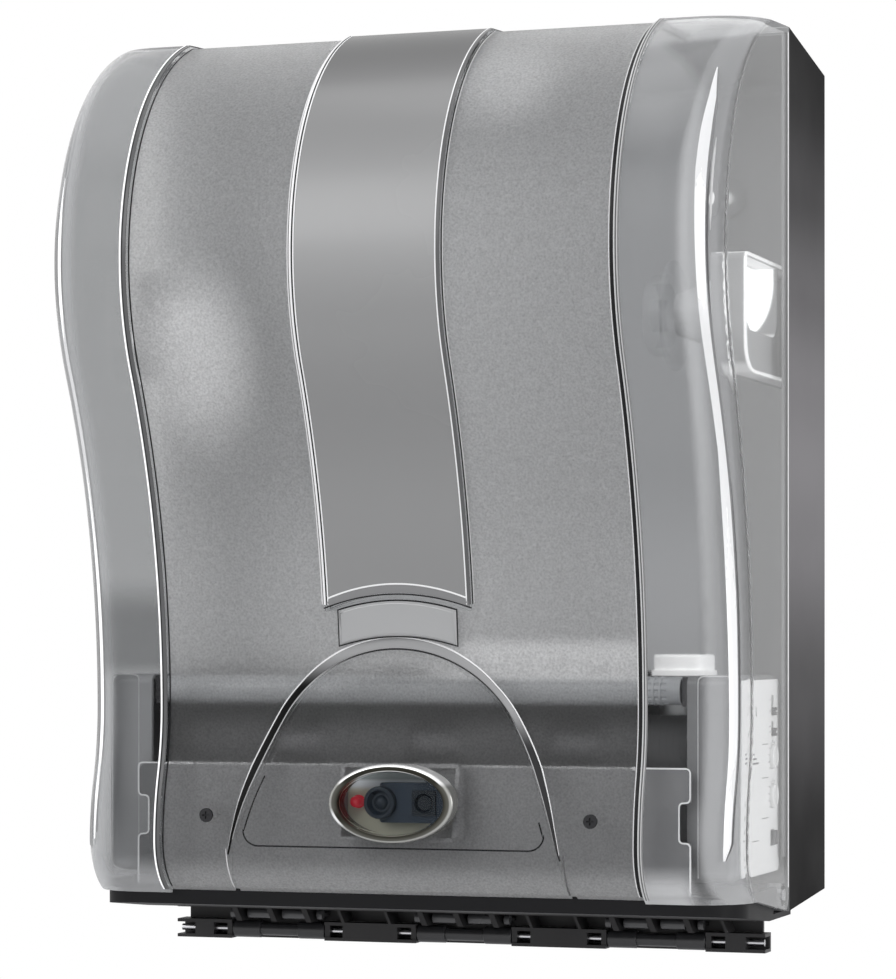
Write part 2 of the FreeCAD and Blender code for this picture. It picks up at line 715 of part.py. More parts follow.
def make_sensor_emitter():
    barrel = rod_y(EMITTER_X, EMITTER_FRONT_Y, BOARD_Y, SENSOR_Z, EMITTER_R)
    barrel = round_edges(barrel, 0.6, lambda e: abs(e.BoundBox.YMax - EMITTER_FRONT_Y) < 0.01)
    cup = Part.makeCone(EMITTER_R - 1.6, EMITTER_R - 3.0, 3.0, V(EMITTER_X, EMITTER_FRONT_Y, SENSOR_Z), V(0, 1, 0))
    dome = Part.makeSphere(EMITTER_R - 3.2, V(EMITTER_X, EMITTER_FRONT_Y + 5.2, SENSOR_Z))
    return fuse_all([barrel.cut(cup), dome])


def make_sensor_receiver():
    half = RECEIVER_SIZE / 2.0
    front = MODULE_FRONT_Y - 0.8
    body = box(RECEIVER_X - half, RECEIVER_X + half, front, MODULE_FRONT_Y + 2.0, SENSOR_Z - half, SENSOR_Z + half)
    cup = Part.makeCone(half - 1.2, half - 2.2, 1.6, V(RECEIVER_X, front, SENSOR_Z), V(0, 1, 0))
    return body.cut(cup)


def make_indicator_led():
    flange = rod_y(LED_X, BOARD_Y - 1.0, BOARD_Y, SENSOR_Z, LED_R + 0.4)
    body = rod_y(LED_X, BOARD_Y - 4.0, BOARD_Y - 1.0, SENSOR_Z, LED_R)
    tip = Part.makeSphere(LED_R, V(LED_X, BOARD_Y - 4.0, SENSOR_Z))
    return fuse_all([flange, body, tip])


def make_cover_screws():
    screws = []
    for x in (-COVER_SCREW_X, COVER_SCREW_X):
        y = front_y(COVER_SCREW_Z) + RECESS_DEPTH
        head = rod_y(x, y - 0.6, y + 0.8, COVER_SCREW_Z, COVER_SCREW_HEAD_R)
        shank = rod_y(x, y + 0.8, y + COVER_SCREW_LONG, COVER_SCREW_Z, COVER_SCREW_R)
        cross = [box(x - 1.6, x + 1.6, y - 1.0, y + 0.1, COVER_SCREW_Z - 0.35, COVER_SCREW_Z + 0.35),
                 box(x - 0.35, x + 0.35, y - 1.0, y + 0.1, COVER_SCREW_Z - 1.6, COVER_SCREW_Z + 1.6)]
        screws.append(fuse_all([head, shank]).cut(cross))
    return Part.makeCompound(screws)


# Rear housing, its arm brackets, posts and catch

def housing_block(inset, front_y_value, rear_y):
    def z_at(y, joint_z, wall_z, sign):
        return housing_slope(y, joint_z, wall_z) - sign * inset
    points = [
        (front_y_value, z_at(front_y_value, JOINT_BOTTOM, WALL_BOTTOM, -1)),
        (rear_y, z_at(rear_y, JOINT_BOTTOM, WALL_BOTTOM, -1)),
        (rear_y, z_at(rear_y, JOINT_TOP, WALL_TOP, 1)),
        (front_y_value, z_at(front_y_value, JOINT_TOP, WALL_TOP, 1)),
    ]
    return plate_x(points, -HALF + inset, HALF - inset)


def make_rear_housing():
    outer = housing_block(0.0, JOINT_Y, 0.0)
    outer = round_edges(outer, HOUSING_REAR_R, lambda e: abs(e.BoundBox.YMin) < 0.01)
    inner = housing_block(HOUSING_WALL, JOINT_Y - 1.0, -HOUSING_WALL)
    inner = round_edges(inner, HOUSING_REAR_R - HOUSING_WALL,
                        lambda e: abs(e.BoundBox.YMin + HOUSING_WALL) < 0.01)
    shell = outer.cut(inner)
    parts = [shell, housing_tongue()]
    for x in (-WALL_SCREW_X / 2.0, WALL_SCREW_X / 2.0):
        for z in (-WALL_SCREW_Z / 2.0, WALL_SCREW_Z / 2.0):
            parts.append(rod_y(x, -HOUSING_WALL - WALL_PAD, -HOUSING_WALL / 2.0, z, WALL_PAD_R))
    for x in (-POST_X, POST_X):
        for z in (POST_Z0, POST_Z1):
            parts.append(rod_y(x, PARTITION_Y + PARTITION_THICK, -HOUSING_WALL / 2.0, z, POST_R))
    ear_x0 = ARM_PIN_X - ARM_KNUCKLE_R
    ear_x1 = ARM_PIN_X + ARM_KNUCKLE_R
    for z0, z1 in arm_ears():
        ear = box(ear_x0, ear_x1, ARM_PIN_Y - ARM_KNUCKLE_R, -HOUSING_WALL / 2.0, z0, z1)
        ear = round_edges(ear, 4.0, lambda e: runs_along(e, V(0, 0, 1)) and e.CenterOfMass.y < ARM_PIN_Y)
        parts += both_sides(ear)
    parts.append(box(-CATCH_HALF, CATCH_HALF, CATCH_BOSS_Y0, CATCH_BOSS_Y1, CATCH_TOP,
                     housing_slope(CATCH_BOSS_Y1, JOINT_TOP, WALL_TOP) - HOUSING_WALL / 2.0))
    housing = fuse_all(parts)
    cuts = []
    for x in (-WALL_SCREW_X / 2.0, WALL_SCREW_X / 2.0):
        for z in (-WALL_SCREW_Z / 2.0, WALL_SCREW_Z / 2.0):
            cuts.append(rod_y(x, -20.0, 1.0, z, WALL_SCREW_R))
    for x in (-POST_X, POST_X):
        for z in (POST_Z0, POST_Z1):
            cuts.append(rod_y(x, PARTITION_Y, PARTITION_Y + 18.0, z, SCREW_R + SCREW_FIT))
    for z0, z1 in arm_ears():
        cuts += both_sides(rod_z(ARM_PIN_X, ARM_PIN_Y, z0 - 1.0, z1 + 1.0, ARM_PIN_R + RUN_FIT))
    cuts.append(rod_z(0, (CATCH_BOSS_Y0 + CATCH_BOSS_Y1) / 2.0, CATCH_TOP - 1.0, CATCH_TOP + SCREW_LONG - 1.5,
                      SCREW_R + SCREW_FIT))
    for x in TRAY_SCREW_X:
        cuts.append(rod_z(x, TRAY_SCREW_Y, JOINT_BOTTOM - 5.0, JOINT_BOTTOM + 6.0, SCREW_R + SCREW_FIT))
    cuts.append(rod_z(JACK_X, JACK_Y, JOINT_BOTTOM - 5.0, JOINT_BOTTOM + 8.0, JACK_HOLE))
    return housing.cut(cuts)


def housing_tongue():
    """Rim that stands inside the cover's rear edge on the top and both sides."""
    outer = COVER_WALL + 0.35
    thick = 1.25
    root = JOINT_Y + 5.0
    tip = JOINT_Y - 3.0
    inner_y = JOINT_Y + 11.0

    def ring(inset0, inset1, y0, y1):
        return housing_block(inset0, y0, y1).cut(housing_block(inset1, y0 - 1.0, y1 + 1.0))

    tongue = ring(outer, outer + thick, tip, root).fuse(ring(HOUSING_WALL - 0.2, outer + thick, root, inner_y))
    roof = plate_x([
        (tip - 1.0, roof_z(tip - 1.0, outer)),
        (JOINT_Y, roof_z(JOINT_Y, outer)),
        (JOINT_Y, JOINT_TOP),
        (tip - 1.0, JOINT_TOP),
    ], -HALF, HALF)
    tongue = tongue.cut(roof)
    return tongue.cut(box(-HALF, HALF, JOINT_Y - 20.0, 0.0, JOINT_BOTTOM - 5.0, JOINT_BOTTOM + 24.0))


def arm_ears():
    return [(ARM_FOOT - ARM_PLAY - ARM_EAR, ARM_FOOT - ARM_PLAY), (ARM_TOP + ARM_PLAY, ARM_TOP + ARM_PLAY + ARM_EAR)]


CAM_Z = roof_z(LOCK_Y, 0.0) - LOCK_LONG
CATCH_PLATE_Y = LOCK_Y + CATCH_FROM_AXIS
CATCH_TOP = CAM_Z + CAM_THICK + CAM_LIP + 4.0
CATCH_BOSS_Y0 = JOINT_Y + 12.0
CATCH_BOSS_Y1 = JOINT_Y + 22.0


def make_lock_catch():
    plate = box(-CATCH_HALF, CATCH_HALF, CATCH_PLATE_Y, CATCH_PLATE_Y + CATCH_THICK, CAM_Z - 4.0, CATCH_TOP)
    slot = box(-CAM_HALF - 0.6, CATCH_HALF + 1.0, CATCH_PLATE_Y - 1.0, CATCH_PLATE_Y + CATCH_THICK + 1.0,
               CAM_Z - 0.5, CAM_Z + CAM_THICK + 0.5)
    arm = box(-CATCH_HALF, CATCH_HALF, CATCH_PLATE_Y, CATCH_BOSS_Y1, CATCH_TOP - CATCH_THICK, CATCH_TOP)
    middle = (CATCH_BOSS_Y0 + CATCH_BOSS_Y1) / 2.0
    hole = rod_z(0, middle, CATCH_TOP - 5.0, CATCH_TOP + 1.0, SCREW_R + SCREW_FIT)
    return fuse_all([plate.cut(slot), arm]).cut(hole)


def make_lock_barrel():
    top = roof_z(LOCK_Y, 0.0)
    head = rod_z(0, LOCK_Y, top - LOCK_HEAD_DEPTH + 0.1, top - 0.1, LOCK_HEAD_R)
    body = rod_z(0, LOCK_Y, CAM_Z + CAM_THICK, top - LOCK_HEAD_DEPTH + 0.1, LOCK_R)
    stub = box(-3.0, 3.0, LOCK_Y - 3.0, LOCK_Y + 3.0, CAM_Z, CAM_Z + CAM_THICK)
    key = box(-0.8, 0.8, LOCK_Y - 3.6, LOCK_Y + 3.6, top - 5.0, top + 1.0)
    return fuse_all([head, body, stub]).cut(key)


def make_lock_cam():
    arm = box(0.0, CAM_REACH, LOCK_Y - CAM_HALF, LOCK_Y + CAM_HALF, CAM_Z, CAM_Z + CAM_THICK)
    hub = rod_z(0, LOCK_Y, CAM_Z, CAM_Z + CAM_THICK, LOCK_R)
    lip = box(CAM_REACH - CAM_THICK, CAM_REACH, LOCK_Y - CAM_HALF, LOCK_Y + CAM_HALF,
              CAM_Z, CAM_Z + CAM_THICK + CAM_LIP)
    square = box(-3.05, 3.05, LOCK_Y - 3.05, LOCK_Y + 3.05, CAM_Z - 1.0, CAM_Z + CAM_THICK + 1.0)
    return fuse_all([arm, hub, lip]).cut(square)


# Bottom tray, blade and hinge pins

TRAY_SCREW_X = (-120.0, -40.0, 40.0, 120.0)
TRAY_SCREW_Y = -67.0
TRAY_HALF = HALF - COVER_WALL - TRAY_SIDE_GAP
TRAY_WALL_Y = JOINT_Y - 0.4
JOINT_INNER_BOTTOM = JOINT_BOTTOM + HOUSING_WALL


def make_base_tray():
    under = 0.15
    outline = [
        (TRAY_FRONT_Y, TRAY_RIM_Z),
        (TRAY_FRONT_Y, TRAY_FRONT_Z),
        (TRAY_FLAT_Y, TRAY_FLAT_Z),
        (TRAY_REAR_Y, TRAY_FLAT_Z),
        (TRAY_REAR_Y, housing_slope(TRAY_REAR_Y, JOINT_BOTTOM, WALL_BOTTOM) - under),
        (TRAY_WALL_Y, JOINT_BOTTOM - under),
        (TRAY_WALL_Y, TRAY_RIM_Z),
    ]
    pan = plate_x(outline, -TRAY_HALF, TRAY_HALF)
    corner = CORNER_R - COVER_WALL - TRAY_SIDE_GAP
    pan = round_edges(pan, corner, lambda e: runs_along(e, V(0, 0, 1)) and e.CenterOfMass.y < TRAY_FRONT_Y + 1.0)
    wall = TRAY_FLOOR
    rise = (TRAY_FRONT_Z - TRAY_FLAT_Z) / (TRAY_FLAT_Y - TRAY_FRONT_Y)
    inner_front = TRAY_FRONT_Y + wall
    cavity = plate_x([
        (inner_front, TRAY_RIM_Z + 5.0),
        (inner_front, TRAY_FRONT_Z + wall - rise * wall),
        (TRAY_FLAT_Y, TRAY_FLAT_Z + wall),
        (TRAY_WALL_Y - wall, TRAY_FLAT_Z + wall),
        (TRAY_WALL_Y - wall, TRAY_RIM_Z + 5.0),
    ], -TRAY_HALF + wall, TRAY_HALF - wall)
    cavity = round_edges(cavity, corner - wall,
                         lambda e: runs_along(e, V(0, 0, 1)) and e.CenterOfMass.y < inner_front + 1.0)
    rim = box(-SLOT_HALF - 2.0, SLOT_HALF + 2.0, SLOT_Y0 - 2.0, SLOT_Y1 + 2.0, TRAY_FLAT_Z + 1.0, TRAY_FLAT_Z + 9.0)
    parts = [pan.cut(cavity), rim]
    ear_x0 = EAR_OUTER - PIVOT_EAR
    ear = box(ear_x0, EAR_OUTER, PIVOT_Y - PIVOT_BOSS_R, PIVOT_Y + PIVOT_BOSS_R, TRAY_FLAT_Z + 1.0, PIVOT_Z)
    ear = ear.fuse(rod_x(ear_x0, EAR_OUTER, PIVOT_Y, PIVOT_Z, PIVOT_BOSS_R))
    parts += both_sides(ear)
    tray = fuse_all(parts)
    slot = box(-SLOT_HALF, SLOT_HALF, SLOT_Y0, SLOT_Y1, TRAY_FLAT_Z - 1.0, TRAY_RIM_Z)
    cuts = [slot]
    for side in (-1, 1):
        cuts.append(box(side * (EAR_OUTER + 0.01), side * (HALF + 1.0), PIVOT_Y - 8.0, TRAY_WALL_Y + 8.0,
                        TRAY_FLAT_Z + wall, TRAY_RIM_Z + 5.0))
        cuts.append(rod_x(side * (ear_x0 - 1.0), side * (EAR_OUTER + 1.0), PIVOT_Y, PIVOT_Z, PIVOT_PIN_R + RUN_FIT))
    for x in TRAY_SCREW_X:
        cuts.append(rod_z(x, TRAY_SCREW_Y, TRAY_FLAT_Z - 1.0, JOINT_BOTTOM + 3.0, SCREW_R + SCREW_FIT))
    return tray.cut(cuts)


def make_tear_bar():
    half = SLOT_HALF - 1.0
    low = TRAY_FLAT_Z + 0.6
    pitch = 2.0 * half / BLADE_TEETH
    points = [(-half, TRAY_RIM_Z - 3.0)]
    for i in range(BLADE_TEETH):
        x = -half + i * pitch
        points.append((x, low + BLADE_TOOTH))
        points.append((x + pitch / 2.0, low))
    points += [(half, low + BLADE_TOOTH), (half, TRAY_RIM_Z - 3.0)]
    return plate_y(points, SLOT_Y0 + 0.05, SLOT_Y0 + 0.05 + BLADE_THICK)


def make_hinge_pins():
    pin = rod_x(EAR_OUTER - PIVOT_EAR - 1.0, HALF - COVER_WALL, PIVOT_Y, PIVOT_Z, PIVOT_PIN_R)
    head = rod_x(EAR_OUTER - PIVOT_EAR - 2.5, EAR_OUTER - PIVOT_EAR - 0.3, PIVOT_Y, PIVOT_Z, PIVOT_PIN_R + 1.5)
    return Part.makeCompound(both_sides(fuse_all([pin, head])))


def pan_screw(seat, direction):
    """Pan-head screw whose head sits on the seat point and whose shank runs along direction."""
    head = rod_z(0, 0, -SCREW_HEAD, 0, SCREW_HEAD_R)
    shank = rod_z(0, 0, 0, SCREW_LONG, SCREW_R)
    cross = [box(-1.8, 1.8, -0.4, 0.4, -SCREW_HEAD - 1.0, -SCREW_HEAD + 1.0),
             box(-0.4, 0.4, -1.8, 1.8, -SCREW_HEAD - 1.0, -SCREW_HEAD + 1.0)]
    screw = fuse_all([head, shank]).cut(cross)
    screw.Placement = FreeCAD.Placement(seat, FreeCAD.Rotation(V(0, 0, 1), direction))
    return screw


def make_case_screws():
    """All the identical screws that hold the tray, the catch, the chassis and the end caps."""
    screws = [pan_screw(V(x, TRAY_SCREW_Y, TRAY_FLAT_Z), V(0, 0, 1)) for x in TRAY_SCREW_X]
    middle = (CATCH_BOSS_Y0 + CATCH_BOSS_Y1) / 2.0
    screws.append(pan_screw(V(0, middle, CATCH_TOP - CATCH_THICK), V(0, 0, 1)))
    for x in (-POST_X, POST_X):
        for z in (POST_Z0, POST_Z1):
            screws.append(pan_screw(V(x, PARTITION_Y, z), V(0, 1, 0)))
    inner = CHASSIS_HALF - CHASSIS_PLATE
    for y, z in cap_screw_places():
        for side in (-1, 1):
            screws.append(pan_screw(V(side * inner, y, z), V(side, 0, 0)))
    return Part.makeCompound(screws)


# Exit strip: ribbed guide, bars, rail, rod and spool rollers

def spool_centres():
    first = -SPOOL_PITCH * (SPOOL_COUNT - 1) / 2.0
    return [first + i * SPOOL_PITCH for i in range(SPOOL_COUNT)]


def slanted_rib(x, thick, front, rear, z0, z1):
    """Thin upright wall across the strip that leans to the right as it rises."""
    lean = RIB_SLANT
    points = [(x - thick / 2.0, z0), (x + thick / 2.0, z0), (x + thick / 2.0 - lean, z1), (x - thick / 2.0 - lean, z1)]
    return plate_y(points, front, rear)


def make_exit_guide():
    top = TRAY_FLAT_Z - 0.1
    back = box(-STRIP_HALF + 3.0, STRIP_HALF - 3.0, RAIL_REAR_Y - 2.5, RAIL_REAR_Y, STRIP_SPLIT, top)
    roof = box(-STRIP_HALF + 3.0, STRIP_HALF - 3.0, GUIDE_FRONT_Y, RAIL_REAR_Y, top - 1.2, top)
    parts = [back, roof]
    count = int((STRIP_HALF - 6.0) / RIB_PITCH)
    spans = [(c - SPOOL_LONG / 2.0 - 3.0, c + SPOOL_LONG / 2.0 + 3.0) for c in spool_centres()]
    for i in range(-count, count + 1):
        x = (i + 0.5) * RIB_PITCH
        if abs(x) < STRIP_HALF - 6.0 and not any(low < x < high for low, high in spans):
            parts.append(slanted_rib(x, RIB_THICK, GUIDE_FRONT_Y + 2.5, RAIL_REAR_Y - 1.0, STRIP_SPLIT + 0.3, top))
    for centre in spool_centres():
        for i in (-1, 0, 1):
            parts.append(slanted_rib(centre + i * FIN_PITCH + RIB_SLANT / 2.0, FIN_THICK, FIN_FRONT_Y,
                                     RAIL_REAR_Y - 1.0, STRIP_SPLIT + 0.3, top))
    return fuse_all(parts)


def make_exit_bars():
    """Smooth bars that run between the fins above each spool roller."""
    bars = []
    z = (STRIP_SPLIT + TRAY_FLAT_Z) / 2.0 - 0.4
    for centre in spool_centres():
        edges = [centre - SPOOL_LONG / 2.0]
        for i in (-1, 0, 1):
            fin = centre + i * FIN_PITCH
            edges += [fin - FIN_THICK / 2.0 - 1.7, fin + FIN_THICK / 2.0 + 1.7]
        edges.append(centre + SPOOL_LONG / 2.0)
        for x0, x1 in zip(edges[0::2], edges[1::2]):
            bar = rod_x(x0, x1, GUIDE_FRONT_Y + 6.5, z, 2.2)
            stem = box(x0, x1, GUIDE_FRONT_Y + 6.5, RAIL_REAR_Y - 2.6, z - 0.8, z + 0.8)
            bars.append(fuse_all([bar, stem]))
    return Part.makeCompound(bars)


def make_exit_rail():
    top = STRIP_SPLIT - 0.1
    back = box(-STRIP_HALF, STRIP_HALF, RAIL_REAR_Y - RAIL_BACK, RAIL_REAR_Y, STRIP_BOTTOM, top)
    upper = box(-STRIP_HALF, STRIP_HALF, RAIL_FRONT_Y, RAIL_REAR_Y - 1.0, top - RAIL_LEDGE, top)
    lower = box(-STRIP_HALF, STRIP_HALF, RAIL_FRONT_Y, RAIL_REAR_Y - 1.0, STRIP_BOTTOM, STRIP_BOTTOM + RAIL_LEDGE)
    parts = [back, upper, lower]
    blocks = [(x, RAIL_BLOCK_HALF) for x in (-SPOOL_PITCH / 2.0, SPOOL_PITCH / 2.0)]
    blocks += [(-RAIL_END_X, RAIL_END_HALF), (RAIL_END_X, RAIL_END_HALF)]
    for x, half in blocks:
        parts.append(box(x - half, x + half, RAIL_FRONT_Y, RAIL_REAR_Y - 1.0, STRIP_BOTTOM, top))
    for x in spool_centres():
        for side in (-1, 1):
            edge = x + side * (SPOOL_LONG / 2.0 + 1.6)
            parts.append(box(edge - 1.2, edge + 1.2, RAIL_FRONT_Y + 0.8, RAIL_REAR_Y - 1.0, STRIP_BOTTOM, top))
    rail = fuse_all(parts)
    cuts = []
    for x in spool_centres():
        half = SPOOL_LONG / 2.0 + 0.4
        cuts.append(box(x - half, x + half, RAIL_FRONT_Y - 1.0, RAIL_REAR_Y - RAIL_BACK, STRIP_BOTTOM - 1.0, top + 1.0))
    cuts.append(rod_x(-STRIP_HALF + 1.0, STRIP_HALF - 1.0, SPOOL_Y, SPOOL_Z, SPOOL_ROD_R + RUN_FIT))
    return rail.cut(cuts)


def make_exit_rod():
    return rod_x(-STRIP_HALF + 1.1, STRIP_HALF - 1.1, SPOOL_Y, SPOOL_Z, SPOOL_ROD_R)


def make_exit_roller(centre):
    start = centre - SPOOL_LONG / 2.0
    end = centre + SPOOL_LONG / 2.0
    parts = [rod_x(start, end, SPOOL_Y, SPOOL_Z, SPOOL_NECK_R)]
    for x0, x1 in ((start, start + SPOOL_BARREL), (end - SPOOL_BARREL, end)):
        barrel = rod_x(x0, x1, SPOOL_Y, SPOOL_Z, SPOOL_R)
        parts.append(round_edges(barrel, 0.5, lambda e: e.Curve.TypeId == "Part::GeomCircle"))
    return fuse_all(parts).cut(rod_x(start - 1.0, end + 1.0, SPOOL_Y, SPOOL_Z, SPOOL_ROD_R + RUN_FIT))


# Mechanism chassis and what is fixed to it

def gear_centres():
    roller = (FEED_Y, FEED_Z)
    idler = polar(roller, MODULE * (ROLLER_TEETH + IDLER_TEETH) / 2.0, IDLER_ANGLE)
    pinion = polar(idler, MODULE * (IDLER_TEETH + PINION_TEETH) / 2.0, PINION_ANGLE)
    return roller, idler, pinion


PRESS_Y = FEED_Y + FEED_R + PRESS_R + PRESS_GAP


def make_mechanism_chassis():
    inner = CHASSIS_HALF - CHASSIS_PLATE
    side = box(inner, CHASSIS_HALF, CHASSIS_FRONT_Y, CHASSIS_REAR_Y, CHASSIS_BOTTOM, CHASSIS_TOP)
    nose = box(inner, CHASSIS_HALF, GUIDE_ROLL_Y - 6.0, CHASSIS_FRONT_Y + 1.0, GUIDE_ROLL_Z - 6.5, CHASSIS_TOP)
    parts = both_sides(side) + both_sides(nose)
    plate_rear = GUIDE_PLATE_Y + GUIDE_PLATE_THICK
    for z0, z1 in ((CHASSIS_BOTTOM + 3.0, CHASSIS_BOTTOM + 13.0), (GUIDE_PLATE_TOP - 13.0, GUIDE_PLATE_TOP - 3.0)):
        parts += both_sides(box(inner, CHASSIS_HALF, plate_rear, CHASSIS_FRONT_Y + 1.0, z0, z1))
    parts.append(box(-CHASSIS_HALF, CHASSIS_HALF, CHASSIS_FRONT_Y, CHASSIS_REAR_Y, CHASSIS_BOTTOM,
                     CHASSIS_BOTTOM + SHEET))
    parts.append(box(-CHASSIS_HALF, CHASSIS_HALF, CHASSIS_FRONT_Y + 8.0, PARTITION_Y + PARTITION_THICK,
                     CHASSIS_TOP - SHEET, CHASSIS_TOP))
    parts.append(box(-CHASSIS_HALF, CHASSIS_HALF, PARTITION_Y, PARTITION_Y + PARTITION_THICK, CHASSIS_BOTTOM,
                     CHASSIS_TOP))
    chute_z = FEED_Z - FEED_R - 6.0
    parts.append(box(-SLOT_HALF - 2.0, SLOT_HALF + 2.0, SLOT_Y0 - 2.0, SLOT_Y0, CHASSIS_BOTTOM, chute_z))
    parts.append(box(-SLOT_HALF - 2.0, SLOT_HALF + 2.0, SLOT_Y1, SLOT_Y1 + 2.0, CHASSIS_BOTTOM, chute_z))
    roller, idler, pinion = gear_centres()
    parts.append(rod_x(CHASSIS_HALF - 1.0, GEAR_X0 + GEAR_WIDE + 1.5, idler[0], idler[1], AXLE_R))
    chassis = fuse_all(parts)
    cuts = [box(-SLOT_HALF, SLOT_HALF, SLOT_Y0, SLOT_Y1, CHASSIS_BOTTOM - 1.0, chute_z + 1.0)]
    wide = CHASSIS_HALF + 1.0
    cuts.append(rod_x(-wide, wide, FEED_Y, FEED_Z, BUSH_R + SCREW_FIT))
    cuts.append(rod_x(-wide, wide, PRESS_Y, PRESS_Z, PRESS_SHAFT_R + RUN_FIT))
    cuts.append(rod_x(-wide, wide, GUIDE_ROLL_Y, GUIDE_ROLL_Z, GUIDE_ROLL_SHAFT_R + RUN_FIT))
    cuts.append(rod_x(CHASSIS_HALF - 5.0, wide, pinion[0], pinion[1], AXLE_R + 1.5))
    for y, z in cap_screw_places():
        cuts += both_sides(rod_x(CHASSIS_HALF - 5.0, wide, y, z, SCREW_R + SCREW_FIT))
    cuts.append(rod_z(MOTOR_X, MOTOR_Y, CHASSIS_TOP - 5.0, CHASSIS_TOP + 1.0, MOTOR_R + 0.3))
    for x in (-POST_X, POST_X):
        for z in (POST_Z0, POST_Z1):
            cuts.append(rod_y(x, PARTITION_Y - 1.0, PARTITION_Y + 3.0, z, SCREW_R + SCREW_FIT))
    return chassis.cut(cuts)


def make_roller_bushes():
    inner = CHASSIS_HALF - CHASSIS_PLATE
    bush = rod_x(inner - BUSH_FLANGE, CHASSIS_HALF, FEED_Y, FEED_Z, BUSH_R)
    flange = rod_x(inner - BUSH_FLANGE, inner - 0.05, FEED_Y, FEED_Z, BUSH_R + 1.5)
    bush = fuse_all([bush, flange]).cut(rod_x(inner - 5.0, CHASSIS_HALF + 1.0, FEED_Y, FEED_Z, SHAFT_R + RUN_FIT))
    return Part.makeCompound(both_sides(bush))


def make_feed_shaft():
    core = rod_x(-FEED_HALF, FEED_HALF, FEED_Y, FEED_Z, FEED_CORE_R)
    shaft = rod_x(-CHASSIS_HALF - 2.0, GEAR_X0 + GEAR_WIDE + 2.0, FEED_Y, FEED_Z, SHAFT_R)
    flat = box(GEAR_X0 - 0.5, GEAR_X0 + GEAR_WIDE + 3.0, FEED_Y - SHAFT_R, FEED_Y + SHAFT_R,
               FEED_Z + SHAFT_R - 1.0, FEED_Z + SHAFT_R + 1.0)
    return fuse_all([core, shaft]).cut(flat)


def make_feed_sleeves():
    sleeves = []
    pitch = (2.0 * FEED_HALF - SLEEVE_LONG) / (SLEEVE_COUNT - 1)
    for i in range(SLEEVE_COUNT):
        x0 = -FEED_HALF + i * pitch
        sleeve = rod_x(x0, x0 + SLEEVE_LONG, FEED_Y, FEED_Z, FEED_R)
        sleeve = sleeve.cut(rod_x(x0 - 1.0, x0 + SLEEVE_LONG + 1.0, FEED_Y, FEED_Z, FEED_CORE_R + 0.02))
        sleeves.append(sleeve)
    return Part.makeCompound(sleeves)


def make_pressure_roller():
    roller = rod_x(-FEED_HALF, FEED_HALF, PRESS_Y, PRESS_Z, PRESS_R)
    shaft = rod_x(-CHASSIS_HALF + 0.5, CHASSIS_HALF - 0.5, PRESS_Y, PRESS_Z, PRESS_SHAFT_R)
    return fuse_all([roller, shaft])


def make_guide_roller():
    inner = CHASSIS_HALF - CHASSIS_PLATE - 1.0
    roller = rod_x(-inner, inner, GUIDE_ROLL_Y, GUIDE_ROLL_Z, GUIDE_ROLL_R)
    cuts = []
    for i in range(FLUTES):
        y, z = polar((GUIDE_ROLL_Y, GUIDE_ROLL_Z), GUIDE_ROLL_R + 0.3, 360.0 * i / FLUTES)
        cuts.append(rod_x(-inner + 6.0, inner - 6.0, y, z, 0.8))
    shaft = rod_x(-CHASSIS_HALF + 0.3, CHASSIS_HALF - 0.3, GUIDE_ROLL_Y, GUIDE_ROLL_Z, GUIDE_ROLL_SHAFT_R)
    return fuse_all([roller.cut(cuts), shaft])


def gear(centre, teeth, start_angle, bore_r):
    """Spur gear with straight-sided teeth, thinned by the backlash."""
    pitch_r = MODULE * teeth / 2.0
    root_r = pitch_r - 1.25 * MODULE
    tip_r = pitch_r + 0.95 * MODULE
    step = 360.0 / teeth
    thin = math.degrees(GEAR_BACKLASH / pitch_r) / 2.0
    base_half = step * 0.36 - thin
    pitch_half = step * 0.25 - thin
    tip_half = step * 0.12
    points = []
    for i in range(teeth):
        middle = start_angle + i * step
        for radius, shift in ((root_r, -base_half), (pitch_r, -pitch_half), (tip_r, -tip_half),
                              (tip_r, tip_half), (pitch_r, pitch_half), (root_r, base_half)):
            points.append(polar(centre, radius, middle + shift))
    wheel = plate_x(points, GEAR_X0, GEAR_X0 + GEAR_WIDE)
    return wheel.cut(rod_x(GEAR_X0 - 1.0, GEAR_X0 + GEAR_WIDE + 1.0, centre[0], centre[1], bore_r))


def gear_angles():
    """Start angles that put a tooth of each gear opposite a gap of the next."""
    roller_start = IDLER_ANGLE
    idler_start = IDLER_ANGLE + 180.0 + 180.0 / IDLER_TEETH
    step = 360.0 / IDLER_TEETH
    offset = (PINION_ANGLE - idler_start) / step
    fraction = offset - math.floor(offset)
    pinion_start = PINION_ANGLE + 180.0 + (0.5 + fraction) * 360.0 / PINION_TEETH
    return roller_start, idler_start, pinion_start


def make_roller_gear():
    roller, _, _ = gear_centres()
    wheel = gear(roller, ROLLER_TEETH, gear_angles()[0], SHAFT_R + 0.03)
    key = box(GEAR_X0, GEAR_X0 + GEAR_WIDE, FEED_Y - SHAFT_R, FEED_Y + SHAFT_R, FEED_Z + SHAFT_R - 0.95,
              FEED_Z + SHAFT_R + 0.5)
    return fuse_all([wheel, key.common(rod_x(GEAR_X0, GEAR_X0 + GEAR_WIDE, FEED_Y, FEED_Z, SHAFT_R + 0.5))])


def make_idler_gear():
    _, idler, _ = gear_centres()
    return gear(idler, IDLER_TEETH, gear_angles()[1], AXLE_R + RUN_FIT)


def make_drive_pinion():
    _, _, pinion = gear_centres()
    wheel = gear(pinion, PINION_TEETH, gear_angles()[2], AXLE_R - 0.5)
    shaft = rod_x(CHASSIS_HALF - 7.2, GEAR_X0 + GEAR_WIDE + 1.0, pinion[0], pinion[1], AXLE_R)
    return fuse_all([wheel, shaft])


